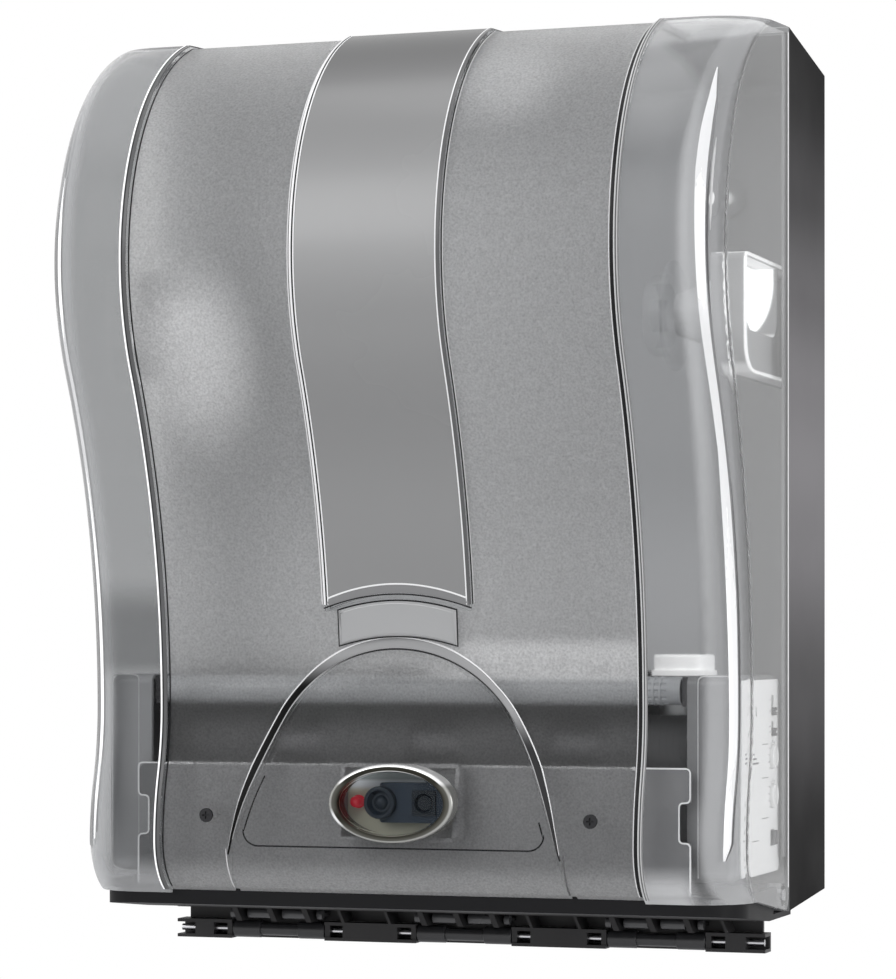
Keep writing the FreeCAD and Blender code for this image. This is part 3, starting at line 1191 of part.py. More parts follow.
def make_gearbox():
    inner = CHASSIS_HALF - CHASSIS_PLATE - 0.1
    _, _, pinion = gear_centres()
    start = inner - GEARBOX_LONG
    body = box(start, inner, GEARBOX_Y0, GEARBOX_Y1, GEARBOX_Z0, GEARBOX_Z1)
    nose_top = PRESS_Z - PRESS_R - 2.0
    nose = box(start, inner, SLOT_Y1 + 2.5, GEARBOX_Y0 + 1.0, GEARBOX_Z0, nose_top)
    shelf = box(start + 4.0, inner, MOTOR_Y - MOTOR_R + 3.0, GEARBOX_Y0 + 1.0, GEARBOX_Z1 - 3.8, GEARBOX_Z1)
    boss = rod_x(CHASSIS_HALF - 7.7, inner, pinion[0], pinion[1], AXLE_R + 3.5)
    foot = box(start + 4.0, inner - 4.0, GEARBOX_Y0 + 4.0, GEARBOX_Y1 - 4.0, CHASSIS_BOTTOM + SHEET + 0.1,
               GEARBOX_Z0 + 1.0)
    bore = rod_x(CHASSIS_HALF - 7.4, inner + 1.0, pinion[0], pinion[1], AXLE_R + RUN_FIT)
    return fuse_all([body, nose, shelf, boss, foot]).cut(bore)


def make_motor():
    can = rod_z(MOTOR_X, MOTOR_Y, GEARBOX_Z1 + 0.1, MOTOR_TOP - 1.0, MOTOR_R)
    can = round_edges(can, 1.5, lambda e: abs(e.BoundBox.ZMin - (MOTOR_TOP - 1.0)) < 0.01)
    return fuse_all([can, rod_z(MOTOR_X, MOTOR_Y, MOTOR_TOP - 1.5, MOTOR_TOP, 4.0)])


def make_motor_cap():
    cap = rod_z(MOTOR_X, MOTOR_Y, CHASSIS_TOP + 0.1, CAP_TOP, CAP_R)
    cap = round_edges(cap, 1.2, lambda e: abs(e.BoundBox.ZMin - CAP_TOP) < 0.01)
    flange = rod_z(MOTOR_X, MOTOR_Y, CHASSIS_TOP + 0.1, CHASSIS_TOP + CAP_FLANGE, CAP_FLANGE_R)
    hollow = rod_z(MOTOR_X, MOTOR_Y, CHASSIS_TOP - 1.0, CAP_TOP - CAP_WALL, CAP_R - CAP_WALL)
    return fuse_all([cap, flange]).cut(hollow)


# End caps and controls

def end_cap_shell():
    x0 = CHASSIS_HALF + 0.3
    outer = box(x0, END_CAP_OUTER, END_CAP_FRONT_Y, END_CAP_REAR_Y, CHASSIS_BOTTOM, END_CAP_TOP)

    def outside_edge(edge):
        inside = edge.BoundBox.XMax < x0 + 0.01
        return not inside

    outer = round_edges(outer, END_CAP_R, outside_edge)
    wall = END_CAP_WALL
    inner = box(x0 - 1.0, END_CAP_OUTER - wall, END_CAP_FRONT_Y + wall, END_CAP_REAR_Y - wall,
                CHASSIS_BOTTOM + wall, END_CAP_TOP - wall)
    return outer.cut(inner)


def cap_screw_places():
    return [(END_CAP_FRONT_Y + 8.0, CHASSIS_BOTTOM + 8.0), (END_CAP_REAR_Y - 8.0, CHASSIS_BOTTOM + 8.0),
            (END_CAP_FRONT_Y + 22.0, END_CAP_TOP - 8.0)]


def end_cap_with_posts():
    x0 = CHASSIS_HALF + 0.3
    places = cap_screw_places()
    cap = fuse_all([end_cap_shell()] + [rod_x(x0, END_CAP_OUTER - 1.0, y, z, 3.5) for y, z in places])
    return cap.cut([rod_x(x0 - 1.0, x0 + SCREW_LONG, y, z, SCREW_R + SCREW_FIT) for y, z in places])


def make_left_end_cap():
    return mirror_x(end_cap_with_posts())


def make_right_end_cap():
    return end_cap_with_posts().cut(control_holes(END_CAP_OUTER - END_CAP_WALL - 1.0, END_CAP_OUTER + 1.0))


def control_holes(x0, x1):
    fit = CONTROL_FIT
    holes = []
    for z, travel in ((SWITCH_ONE_Z, SWITCH_ONE_TRAVEL), (SWITCH_TWO_Z, SWITCH_TWO_TRAVEL)):
        half = SWITCH_TALL / 2.0
        holes.append(box(x0, x1, CONTROL_Y - SWITCH_HALF_Y - fit, CONTROL_Y + SWITCH_HALF_Y + fit,
                         z - half - fit, z + travel + half + fit))
    for z in (KNOB_ONE_Z, KNOB_TWO_Z):
        holes.append(rod_x(x0, x1, CONTROL_Y, z, KNOB_R + fit))
    half = BUTTON_HALF + fit
    holes.append(box(x0, x1, CONTROL_Y - half, CONTROL_Y + half, BUTTON_Z - half, BUTTON_Z + half))
    return holes


def make_control_label():
    x0 = END_CAP_OUTER + 0.02
    label = box(x0, x0 + LABEL_THICK, LABEL_FRONT_Y, LABEL_REAR_Y, LABEL_FOOT, LABEL_TOP)
    label = round_edges(label, 3.0, lambda e: runs_along(e, V(1, 0, 0)))
    return label.cut(control_holes(x0 - 1.0, x0 + LABEL_THICK + 1.0))


def make_control_board():
    x0 = CONTROL_BOARD_X
    board = box(x0, x0 + 1.5, CONTROL_Y - 9.0, CONTROL_Y + 9.0, BUTTON_Z - 4.0, SWITCH_ONE_Z + 10.0)
    return board


def control_seat():
    return CONTROL_BOARD_X + 1.5


def make_slide_switch(z):
    seat = control_seat()
    half = SWITCH_TALL / 2.0
    tip = END_CAP_OUTER + CONTROL_PROUD
    stem = box(seat + 0.3, tip, CONTROL_Y - SWITCH_HALF_Y, CONTROL_Y + SWITCH_HALF_Y, z - half, z + half)
    notch = box(tip - 0.5, tip + 1.0, CONTROL_Y - SWITCH_HALF_Y - 1.0, CONTROL_Y + SWITCH_HALF_Y + 1.0,
                z - 0.4, z + 0.4)
    return stem.cut(notch)


def make_knob(z):
    seat = control_seat()
    tip = END_CAP_OUTER + CONTROL_PROUD
    disc = rod_x(END_CAP_OUTER - 1.0, tip, CONTROL_Y, z, KNOB_R)
    disc = round_edges(disc, 0.8, lambda e: abs(e.BoundBox.XMin - tip) < 0.01)
    stem = rod_x(seat + 0.3, END_CAP_OUTER - 0.5, CONTROL_Y, z, KNOB_STEM_R)
    slot = box(tip - 1.2, tip + 1.0, CONTROL_Y - 0.6, CONTROL_Y + 0.6, z - KNOB_R + 1.2, z + KNOB_R + 1.0)
    return fuse_all([disc, stem]).cut(slot)


def make_feed_button():
    seat = control_seat()
    tip = END_CAP_OUTER + CONTROL_PROUD
    cap = box(END_CAP_OUTER - 1.5, tip, CONTROL_Y - BUTTON_HALF, CONTROL_Y + BUTTON_HALF,
              BUTTON_Z - BUTTON_HALF, BUTTON_Z + BUTTON_HALF)
    cap = round_edges(cap, 0.8, lambda e: e.BoundBox.XMin > END_CAP_OUTER)
    stem = rod_x(seat + BUTTON_TRAVEL + 0.3, END_CAP_OUTER - 1.0, CONTROL_Y, BUTTON_Z, 1.4)
    return fuse_all([cap, stem])


def make_front_guide_plate():
    y0, y1 = GUIDE_PLATE_Y, GUIDE_PLATE_Y + GUIDE_PLATE_THICK
    plate = box(-GUIDE_PLATE_HALF, GUIDE_PLATE_HALF, y0, y1, GUIDE_PLATE_FOOT, GUIDE_PLATE_TOP)
    plate = round_edges(plate, GUIDE_PLATE_R,
                        lambda e: runs_along(e, V(0, 1, 0)) and e.CenterOfMass.z > GUIDE_PLATE_TOP - 1.0)
    notch = box(GUIDE_PLATE_HALF - NOTCH_DEEP, GUIDE_PLATE_HALF + 5.0, y0 - 1.0, y1 + 1.0, NOTCH_Z0, NOTCH_Z1)
    notch = round_edges(notch, NOTCH_R, lambda e: runs_along(e, V(0, 1, 0)))
    plate = plate.cut(both_sides(notch))
    flange = box(-GUIDE_PLATE_HALF, GUIDE_PLATE_HALF, y0, y0 + 14.0, GUIDE_PLATE_FOOT - 1.5, GUIDE_PLATE_FOOT)
    roll = box(-GUIDE_PLATE_HALF + 8.0, GUIDE_PLATE_HALF - 8.0, y0 + 1.0, y0 + 9.0,
               GUIDE_PLATE_TOP - GUIDE_PLATE_THICK - 4.0, GUIDE_PLATE_TOP - 4.0)
    return fuse_all([plate, flange, roll])


# Batteries, main board and jack

def make_battery_box():
    outer = box(-BOX_HALF, BOX_HALF, BOX_Y0, BOX_Y1, BOX_FOOT, BOX_TOP)
    inner = box(-BOX_HALF + BOX_WALL, BOX_HALF - BOX_WALL, BOX_Y0 + BOX_WALL, BOX_Y1 - BOX_WALL,
                BOX_FOOT + BOX_WALL, BOX_TOP + 1.0)
    shell = outer.cut(inner)
    ears = []
    lid_y = BOX_Y1 - LID_PIN_R
    for side in (-1, 1):
        x0 = side * (BOX_HALF - 6.0)
        x1 = side * BOX_HALF
        ears.append(box(x0, x1, BOX_Y1 - 2.0 * LID_PIN_R, BOX_Y1 + 2.0, BOX_TOP - 4.0, LID_AXIS_Z + 3.0))
    foot = box(-BOX_HALF + 10.0, BOX_HALF - 10.0, BOX_Y1 - 1.0, -HOUSING_WALL - 0.1, BOX_FOOT, BOX_FOOT + 10.0)
    box_shape = fuse_all([shell, foot] + ears)
    return box_shape.cut(rod_x(-BOX_HALF - 1.0, BOX_HALF + 1.0, lid_y, LID_AXIS_Z, 1.5 + RUN_FIT))


LID_AXIS_Z = BOX_TOP + 2.2


def make_battery_lid():
    half = BOX_HALF - 6.0 - LID_GAP
    lid_y = BOX_Y1 - LID_PIN_R
    plate = box(-half, half, BOX_Y0 + 0.5, lid_y, LID_AXIS_Z - LID_THICK / 2.0, LID_AXIS_Z + LID_THICK / 2.0)
    barrel = rod_x(-half, half, lid_y, LID_AXIS_Z, LID_PIN_R - 0.1)
    pins = rod_x(-BOX_HALF + 0.5, BOX_HALF - 0.5, lid_y, LID_AXIS_Z, 1.5)
    grip = box(-10.0, 10.0, BOX_Y0 + 0.5, BOX_Y0 + 3.0, LID_AXIS_Z, LID_AXIS_Z + 3.0)
    return fuse_all([plate, barrel, pins, grip])


def cell_places():
    y = (BOX_Y0 + BOX_Y1) / 2.0
    low = BOX_FOOT + BOX_WALL + CELL_R + 1.0
    high = low + 2.0 * CELL_R + 1.5
    return [(side, y, z) for side in (-1, 1) for z in (low, high)]


def make_battery_cells():
    cells = []
    for side, y, z in cell_places():
        x0 = side * 1.5
        x1 = side * (1.5 + CELL_LONG)
        body = rod_x(x0, x1, y, z, CELL_R)
        body = round_edges(body, 1.0, lambda e: e.Curve.TypeId == "Part::GeomCircle")
        nub = rod_x(x1, x1 + side * CELL_NUB, y, z, CELL_NUB_R)
        cells.append(fuse_all([body, nub]))
    return Part.makeCompound(cells)


def make_battery_contacts():
    plates = []
    for side, y, z in cell_places():
        x1 = side * (BOX_HALF - BOX_WALL - 0.1)
        x0 = side * (1.5 + CELL_LONG + CELL_NUB + 0.3)
        plates.append(box(x0, x1, y - 6.0, y + 6.0, z - 6.0, z + 6.0))
    return Part.makeCompound(plates)


def make_main_board():
    y1 = PARTITION_Y - 4.0
    board = box(BOARD_X0, BOARD_X1, y1 - BOARD_THICK, y1, BOARD_Z0, BOARD_Z1)
    parts = [board]
    for x in (BOARD_X0 + 28.0, BOARD_X1 - 5.0):
        for z in (BOARD_Z0 + 5.0, BOARD_Z1 - 5.0):
            parts.append(rod_y(x, y1 - 0.5, PARTITION_Y - 0.1, z, 2.5))
    chips = [(12.0, 18.0, 14.0, 14.0, 2.0), (36.0, 40.0, 10.0, 18.0, 2.5), (58.0, 18.0, 8.0, 8.0, 8.0),
             (58.0, 50.0, 9.0, 6.0, 6.0)]
    for along, up, wide, tall, high in chips:
        x = BOARD_X0 + along
        z = BOARD_Z0 + up
        parts.append(box(x - wide / 2.0, x + wide / 2.0, y1 - BOARD_THICK - high, y1 - BOARD_THICK / 2.0,
                         z - tall / 2.0, z + tall / 2.0))
    return fuse_all(parts)


def make_dc_jack():
    half = JACK_SIZE / 2.0
    floor_z = housing_slope(JACK_Y, JOINT_BOTTOM, WALL_BOTTOM) + HOUSING_WALL + 0.6
    body = box(JACK_X - half, JACK_X + half, JACK_Y - half, JACK_Y + half, floor_z, floor_z + JACK_TALL)
    nose = rod_z(JACK_X, JACK_Y, floor_z - HOUSING_WALL, floor_z + 0.5, JACK_R)
    bore = rod_z(JACK_X, JACK_Y, floor_z - HOUSING_WALL - 1.0, floor_z + JACK_TALL - 2.0, JACK_BORE)
    pin = rod_z(JACK_X, JACK_Y, floor_z - HOUSING_WALL + 0.5, floor_z + JACK_TALL - 1.0, JACK_PIN)
    return fuse_all([fuse_all([body, nose]).cut(bore), pin])


# Roll arms, pins and hubs

def make_roll_arm():
    outline = box(ARM_INNER, ARM_OUTER, ARM_FRONT_Y, ARM_PIN_Y, ARM_FOOT, ARM_TOP)
    outline = round_edges(outline, ARM_FRONT_R, lambda e: runs_along(e, V(1, 0, 0))
                          and e.CenterOfMass.y < ARM_FRONT_Y + 1.0 and e.CenterOfMass.z < ARM_FOOT + 1.0)
    outline = round_edges(outline, 3.0, lambda e: runs_along(e, V(1, 0, 0))
                          and e.CenterOfMass.y < ARM_FRONT_Y + 1.0 and e.CenterOfMass.z > ARM_TOP - 1.0)
    knuckle = rod_z(ARM_PIN_X, ARM_PIN_Y, ARM_FOOT, ARM_TOP, ARM_KNUCKLE_R)
    boss_tip = ROLL_HALF + HUB_FLANGE + 0.4
    boss = Part.makeCone(ARM_BOSS_TIP_R, ARM_BOSS_R, ARM_INNER - boss_tip + 1.0, V(boss_tip, ROLL_Y, ROLL_Z), V(1, 0, 0))
    arm = fuse_all([outline, knuckle, boss])
    skin = ARM_SKIN
    pocket_z0 = ROLL_Z - 8.0
    pocket = box(ARM_INNER + skin, ARM_OUTER + 1.0, ARM_FRONT_Y + skin + 1.0, ARM_FRONT_Y + 60.0, pocket_z0, ARM_TOP - skin)
    pocket = round_edges(pocket, 9.0, lambda e: runs_along(e, V(1, 0, 0)) and e.CenterOfMass.z < pocket_z0 + 1.0)
    rear = box(ARM_INNER + skin, ARM_OUTER + 1.0, ARM_FRONT_Y + 60.0 + skin, ARM_PIN_Y - ARM_KNUCKLE_R - 4.0,
               ARM_FOOT + skin, ARM_TOP - skin)
    knuckle_room = box(ARM_INNER - 1.0, ARM_PIN_X - ARM_KNUCKLE_R, ARM_PIN_Y - 3.0, ARM_PIN_Y + 8.0, ARM_FOOT - 1.0,
                       ARM_TOP + 1.0)
    bore = rod_x(boss_tip - 1.0, ARM_INNER + skin - 0.6, ROLL_Y, ROLL_Z, HUB_SHAFT_R + RUN_FIT)
    pin = rod_z(ARM_PIN_X, ARM_PIN_Y, ARM_FOOT - 1.0, ARM_TOP + 1.0, ARM_PIN_R + RUN_FIT)
    return arm.cut([pocket, rear, knuckle_room, bore, pin])


def make_arm_pins():
    low = arm_ears()[0][0] + 0.5
    high = arm_ears()[1][1]
    pin = rod_z(ARM_PIN_X, ARM_PIN_Y, low, high, ARM_PIN_R)
    head = rod_z(ARM_PIN_X, ARM_PIN_Y, high + 0.05, high + 1.5, ARM_PIN_R + 1.5)
    return Part.makeCompound(both_sides(fuse_all([pin, head, rod_z(ARM_PIN_X, ARM_PIN_Y, high - 0.5, high + 1.0, 1.0)])))


def make_roll_hub():
    plug = Part.makeCone(HUB_R - 1.5, HUB_R, 2.0, V(ROLL_HALF - HUB_PLUG, ROLL_Y, ROLL_Z), V(1, 0, 0))
    body = rod_x(ROLL_HALF - HUB_PLUG + 2.0, ROLL_HALF, ROLL_Y, ROLL_Z, HUB_R)
    flange = rod_x(ROLL_HALF, ROLL_HALF + HUB_FLANGE, ROLL_Y, ROLL_Z, HUB_FLANGE_R)
    flange = round_edges(flange, 0.8, lambda e: e.Curve.TypeId == "Part::GeomCircle")
    shaft = rod_x(ROLL_HALF + HUB_FLANGE - 0.5, ARM_INNER + ARM_SKIN - 1.0, ROLL_Y, ROLL_Z, HUB_SHAFT_R)
    hollow = rod_x(ROLL_HALF - HUB_PLUG - 1.0, ROLL_HALF - 1.0, ROLL_Y, ROLL_Z, HUB_R - 4.0)
    core = rod_x(ROLL_HALF - HUB_PLUG + 1.0, ROLL_HALF, ROLL_Y, ROLL_Z, HUB_SHAFT_R + 2.0)
    hub = fuse_all([plug, body, flange, shaft]).cut(hollow)
    return fuse_all([hub, core])


# Every node of the assembly

def build():
    nodes["rear_housing"] = make_rear_housing()
    nodes["base_tray"] = make_base_tray()
    nodes["tear_bar"] = make_tear_bar()
    nodes["hinge_pins"] = make_hinge_pins()
    nodes["case_screws"] = make_case_screws()
    nodes["lock_catch"] = make_lock_catch()
    nodes["exit_guide"] = make_exit_guide()
    nodes["exit_bars"] = make_exit_bars()
    nodes["exit_rail"] = make_exit_rail()
    nodes["exit_rod"] = make_exit_rod()
    for name, centre in zip(("left", "centre", "right"), spool_centres()):
        nodes["exit_roller_" + name] = make_exit_roller(centre)

    nodes["mechanism_chassis"] = make_mechanism_chassis()
    nodes["roller_bushes"] = make_roller_bushes()
    nodes["left_end_cap"] = make_left_end_cap()
    nodes["right_end_cap"] = make_right_end_cap()
    nodes["front_guide_plate"] = make_front_guide_plate()
    nodes["gearbox"] = make_gearbox()
    nodes["motor"] = make_motor()
    nodes["motor_cap"] = make_motor_cap()
    nodes["main_board"] = make_main_board()
    nodes["dc_jack"] = make_dc_jack()
    nodes["battery_box"] = make_battery_box()
    nodes["battery_cells"] = make_battery_cells()
    nodes["battery_contacts"] = make_battery_contacts()
    nodes["battery_lid"] = make_battery_lid()

    nodes["feed_roller"] = make_feed_shaft()
    nodes["feed_sleeves"] = make_feed_sleeves()
    nodes["roller_gear"] = make_roller_gear()
    nodes["pressure_roller"] = make_pressure_roller()
    nodes["guide_roller"] = make_guide_roller()
    nodes["idler_gear"] = make_idler_gear()
    nodes["drive_pinion"] = make_drive_pinion()

    nodes["control_label"] = make_control_label()
    nodes["control_board"] = make_control_board()
    nodes["power_switch"] = make_slide_switch(SWITCH_ONE_Z)
    nodes["mode_switch"] = make_slide_switch(SWITCH_TWO_Z)
    nodes["length_knob"] = make_knob(KNOB_ONE_Z)
    nodes["delay_knob"] = make_knob(KNOB_TWO_Z)
    nodes["feed_button"] = make_feed_button()

    arm = make_roll_arm()
    hub = make_roll_hub()
    nodes["roll_arm_right"] = arm
    nodes["roll_arm_left"] = mirror_x(arm)
    nodes["roll_hub_right"] = hub
    nodes["roll_hub_left"] = mirror_x(hub)
    nodes["arm_pins"] = make_arm_pins()

    nodes["front_cover"] = make_front_cover()
    nodes["centre_panel"] = make_centre_panel()
    nodes["badge_plate"] = make_badge_plate()
    nodes["cover_screws"] = make_cover_screws()
    nodes["sensor_bezel"] = make_sensor_bezel()
    nodes["sensor_lens"] = make_sensor_lens()
    nodes["sensor_holder"] = make_sensor_holder()
    nodes["sensor_board"] = make_sensor_board()
    nodes["sensor_module"] = make_sensor_module()
    nodes["sensor_emitter"] = make_sensor_emitter()
    nodes["sensor_receiver"] = make_sensor_receiver()
    nodes["indicator_led"] = make_indicator_led()
    nodes["lock_barrel"] = make_lock_barrel()
    nodes["lock_cam"] = make_lock_cam()


def report():
    for name, shape in nodes.items():
        size = shape.BoundBox
        print("%-20s valid %s solids %d volume %.0f  X %.1f..%.1f Y %.1f..%.1f Z %.1f..%.1f" % (
            name, shape.isValid(), len(shape.Solids), shape.Volume,
            size.XMin, size.XMax, size.YMin, size.YMax, size.ZMin, size.ZMax))


os.makedirs("parts", exist_ok=True)
build()
report()
for name, shape in nodes.items():
    shape.exportStep("parts/" + name + ".step")
print("nodes", len(nodes))
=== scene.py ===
# %% [markdown]
# # Automatic roll towel dispenser: looks
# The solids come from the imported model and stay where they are. This file gives them their
# surfaces, adds the small details that are easier to draw than to machine, and sets up a plain
# studio around them. Lengths are in metres, the front looks towards -Y, and Z points up.

# %% Load the model
import math
import bmesh
import bpy
from mathutils import Matrix, Vector


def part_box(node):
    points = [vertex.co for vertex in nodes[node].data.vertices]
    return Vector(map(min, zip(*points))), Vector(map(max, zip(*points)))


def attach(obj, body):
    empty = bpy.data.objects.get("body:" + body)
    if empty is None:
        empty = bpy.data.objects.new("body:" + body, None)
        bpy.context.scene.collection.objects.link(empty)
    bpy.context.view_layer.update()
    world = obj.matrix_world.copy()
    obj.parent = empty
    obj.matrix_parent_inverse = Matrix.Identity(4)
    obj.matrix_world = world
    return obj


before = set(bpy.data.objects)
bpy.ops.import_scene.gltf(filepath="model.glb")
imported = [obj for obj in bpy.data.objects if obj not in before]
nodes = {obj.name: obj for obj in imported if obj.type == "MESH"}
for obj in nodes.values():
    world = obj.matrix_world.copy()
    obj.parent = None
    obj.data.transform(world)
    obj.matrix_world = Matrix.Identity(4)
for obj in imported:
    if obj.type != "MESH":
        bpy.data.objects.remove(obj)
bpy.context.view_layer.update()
scene = bpy.context.scene


def new_object(name, data):
    made = bpy.data.objects.new(name, data)
    scene.collection.objects.link(made)
    return made


def new_mesh(name, verts, faces, edges=()):
    mesh = bpy.data.meshes.new(name)
    mesh.from_pydata(verts, edges, faces)
    return mesh


# %% [markdown]
# Materials, the sky and the Geometry Nodes trees are all made of nodes. These helpers add a node
# and fill its sockets in one step. A socket takes a plain value or a link, and `feed` tells them
# apart. `times`, `plus` and `highest` join as many values as they are given.

# %% Node helpers
def feed(node, feeds):
    """Give sockets of a node, by name or number, a plain value or a link."""
    for socket, value in feeds.items():
        if isinstance(value, bpy.types.NodeSocket):
            node.id_data.links.new(value, node.inputs[socket])
        else:
            node.inputs[socket].default_value = value


def add_node(tree, kind, feeds=None, **options):
    node = tree.nodes.new(kind)
    for option, value in options.items():
        setattr(node, option, value)
    feed(node, feeds or {})
    return node


def math_node(operation, *values):
    """A math node in the tree that its linked values belong to."""
    tree = next(value.id_data for value in values if hasattr(value, "id_data"))
    feeds = dict(enumerate(values))
    return add_node(tree, "ShaderNodeMath", feeds, operation=operation).outputs[0]


def chained(operation):
    def join(first, *others):
        for value in others:
            first = math_node(operation, first, value)
        return first
    return join


times, plus, highest = chained("MULTIPLY"), chained("ADD"), chained("MAXIMUM")


def scaled(value, factor, offset):
    return math_node("MULTIPLY_ADD", value, factor, offset)


def new_group(name, kind, inputs, outputs):
    """A group of nodes with its entry and exit; the sockets are given as name and type."""
    group = bpy.data.node_groups.new(name, kind)
    for direction, sockets in (("INPUT", inputs), ("OUTPUT", outputs)):
        for label, socket_kind in sockets.items():
            group.interface.new_socket(
                name=label, in_out=direction, socket_type="NodeSocket" + socket_kind)
    return group, add_node(group, "NodeGroupInput").outputs, add_node(group, "NodeGroupOutput")


# %% [markdown]
# The camera stands a little to the right of the dispenser and lower than its middle. Its film is
# upright, so the sides of the casing stay parallel, and a small shift brings the top back into the
# picture. A long lens keeps the shape free from stretching.

# %% Camera
CAMERA_PLACE = (0.4984, -1.5943, -0.0744)
CAMERA_TURN = 18.5
LENS = 129.2
SHIFT_UP = 0.1517

camera_data = bpy.data.cameras.new("camera")
camera = new_object("camera", camera_data)
camera.location = CAMERA_PLACE
camera.rotation_euler = (math.radians(90.0), 0.0, math.radians(CAMERA_TURN))
camera_data.lens = LENS
camera_data.sensor_width = 36.0
camera_data.shift_y = SHIFT_UP
camera_data.clip_end = 20.0
scene.camera = camera
print("camera at", CAMERA_PLACE, "lens", LENS)

# %% [markdown]
# A glossy see-through object mirrors its lamps, so they are large and soft: one lights the front,
# one stands at the right and one fills from above. The world is pure white where it is seen
# directly, mirrored or through the cover, and gentler as a source of light.

# %% Studio
def area_lamp(name, place, target, size, power):
    data = bpy.data.lights.new(name, "AREA")
    data.shape = "RECTANGLE"
    data.size, data.size_y = size
    data.energy = power
    lamp = new_object(name, data)
    lamp.location = place
    aim = [t - p for t, p in zip(target, place)]
    lean = math.atan2(math.hypot(aim[0], aim[1]), -aim[2])
    lamp.rotation_euler = (lean, 0.0, math.atan2(aim[1], aim[0]) - math.pi / 2.0)


MIDDLE = (0.0, -0.1, 0.0)
WHITE = (1.0, 1.0, 1.0, 1.0)
area_lamp("front_softbox", (-0.9, -2.2, 1.1), MIDDLE, (1.6, 1.2), 22.0)
area_lamp("right_key", (1.6, -0.5, 0.15), (0.14, -0.1, 0.0), (0.5, 1.0), 8.0)
area_lamp("top_fill", (0.1, -0.3, 2.0), MIDDLE, (1.6, 1.2), 14.0)
scene.view_settings.view_transform = "Standard"

world = bpy.data.worlds.new("studio")
scene.world = world
world.use_nodes = True
sky = world.node_tree
sky.nodes.clear()
rays = add_node(sky, "ShaderNodeLightPath").outputs
direct = highest(rays["Is Camera Ray"], rays["Is Glossy Ray"], rays["Is Transmission Ray"])
light, seen = [
    add_node(sky, "ShaderNodeBackground", {"Color": colour, "Strength": strength}).outputs[0]
    for colour, strength in (((0.96, 0.97, 1.0, 1.0), 0.55), (WHITE, 1.0))]
choose = add_node(sky, "ShaderNodeMixShader", {"Fac": direct, 1: light, 2: seen})
add_node(sky, "ShaderNodeOutputWorld", {"Surface": choose.outputs[0]})
print("lamps", len(bpy.data.lights), "world nodes", len(sky.nodes))

# %% [markdown]
# The floor is a pale disc well below the dispenser, which hangs on a wall in use. It catches a
# faint shadow in the views from above.

# %% Floor
FLOOR_Z = -0.42
FLOOR_R = 1.55
FLOOR_SIDES = 96

turns = [math.tau * i / FLOOR_SIDES for i in range(FLOOR_SIDES)]
rim = [(FLOOR_R * math.cos(turn), FLOOR_R * math.sin(turn), FLOOR_Z) for turn in turns]
floor = new_object("floor", new_mesh("floor", rim, [list(range(FLOOR_SIDES))]))
floor_paint = bpy.data.materials.new("pale floor")
floor_paint.use_nodes = True
feed(floor_paint.node_tree.nodes["Principled BSDF"],
     {"Base Color": (0.86, 0.86, 0.86, 1.0), "Roughness": 0.85})
floor.data.materials.append(floor_paint)
print("floor at", FLOOR_Z)

# %% [markdown]
# Every moulded piece shows a fine grain and is never perfectly even. One shared group of nodes
# gives both: a small bumpy height, and slow cloudy values that vary the gloss and the tone. It
# reads object coordinates, so the pattern is fixed to the piece.

# %% Shared grain group
CLOUD_SIZE = 14.0


def build_grain_group():
    group, enter, leave = new_group(
        "moulded grain", "ShaderNodeTree",
        {"Grain Size": "Float", "Gloss Low": "Float", "Gloss High": "Float"},
        {"Height": "Float", "Roughness": "Float", "Tone": "Float"})
    place = add_node(group, "ShaderNodeTexCoord").outputs["Object"]
    grain, cloud = [
        add_node(group, "ShaderNodeTexNoise",
                 {"Vector": place, "Scale": size, "Detail": detail}).outputs["Fac"]
        for size, detail in ((enter["Grain Size"], 2.0), (CLOUD_SIZE, 3.0))]
    gloss = add_node(group, "ShaderNodeMapRange",
                     {"Value": cloud, "From Min": 0.35, "From Max": 0.65,
                      "To Min": enter["Gloss Low"], "To Max": enter["Gloss High"]})
    feed(leave, {"Height": grain, "Roughness": gloss.outputs["Result"], "Tone": cloud})
    return group


GRAIN = build_grain_group()
print("shared group", GRAIN.name)

# %% [markdown]
# A finish is a base colour, a gloss range and a grain, made in one call. The tone of the piece
# drifts by a few percent as real plastic does. `wear` puts a finish on pieces of the model.

# %% Finish helper
GRAIN_DEPTH = 0.0005


def opened(paint):
    return paint.node_tree, paint.node_tree.nodes["Principled BSDF"]


def source(node, socket):
    """The output that feeds one socket of a node."""
    return node.inputs[socket].links[0].from_socket


def finish(name, colour, gloss, grain=900.0, bump=0.05, drift=0.08, tone=None, **plain):
    """A material; `tone`, if given, is a function that changes the base colour with place."""
    paint = bpy.data.materials.new(name)
    paint.use_nodes = True
    tree, shader = opened(paint)
    group = add_node(tree, "ShaderNodeGroup",
                     {"Grain Size": grain, "Gloss Low": gloss[0], "Gloss High": gloss[1]},
                     node_tree=GRAIN).outputs
    dim, bright = [(*[min(1.0, c * share) for c in colour], 1.0)
                   for share in (1.0 - drift, 1.0 + drift)]
    base = add_node(tree, "ShaderNodeMix", {"Factor": group["Tone"], "A": dim, "B": bright},
                    data_type="RGBA").outputs["Result"]
    relief = add_node(tree, "ShaderNodeBump",
                      {"Strength": bump, "Distance": GRAIN_DEPTH, "Height": group["Height"]})
    feed(shader, {"Base Color": tone(tree, base) if tone else base,
                  "Roughness": group["Roughness"], "Normal": relief.outputs["Normal"]})
    feed(shader, {socket.replace("_", " "): value for socket, value in plain.items()})
    return paint


def wear(paint, *names):
    for name in names:
        slots = nodes[name].data.materials
        if len(slots) == 0:
            slots.append(paint)
        for i in range(len(slots)):
            slots[i] = paint
    print(paint.name, "on", ", ".join(names))
    return paint
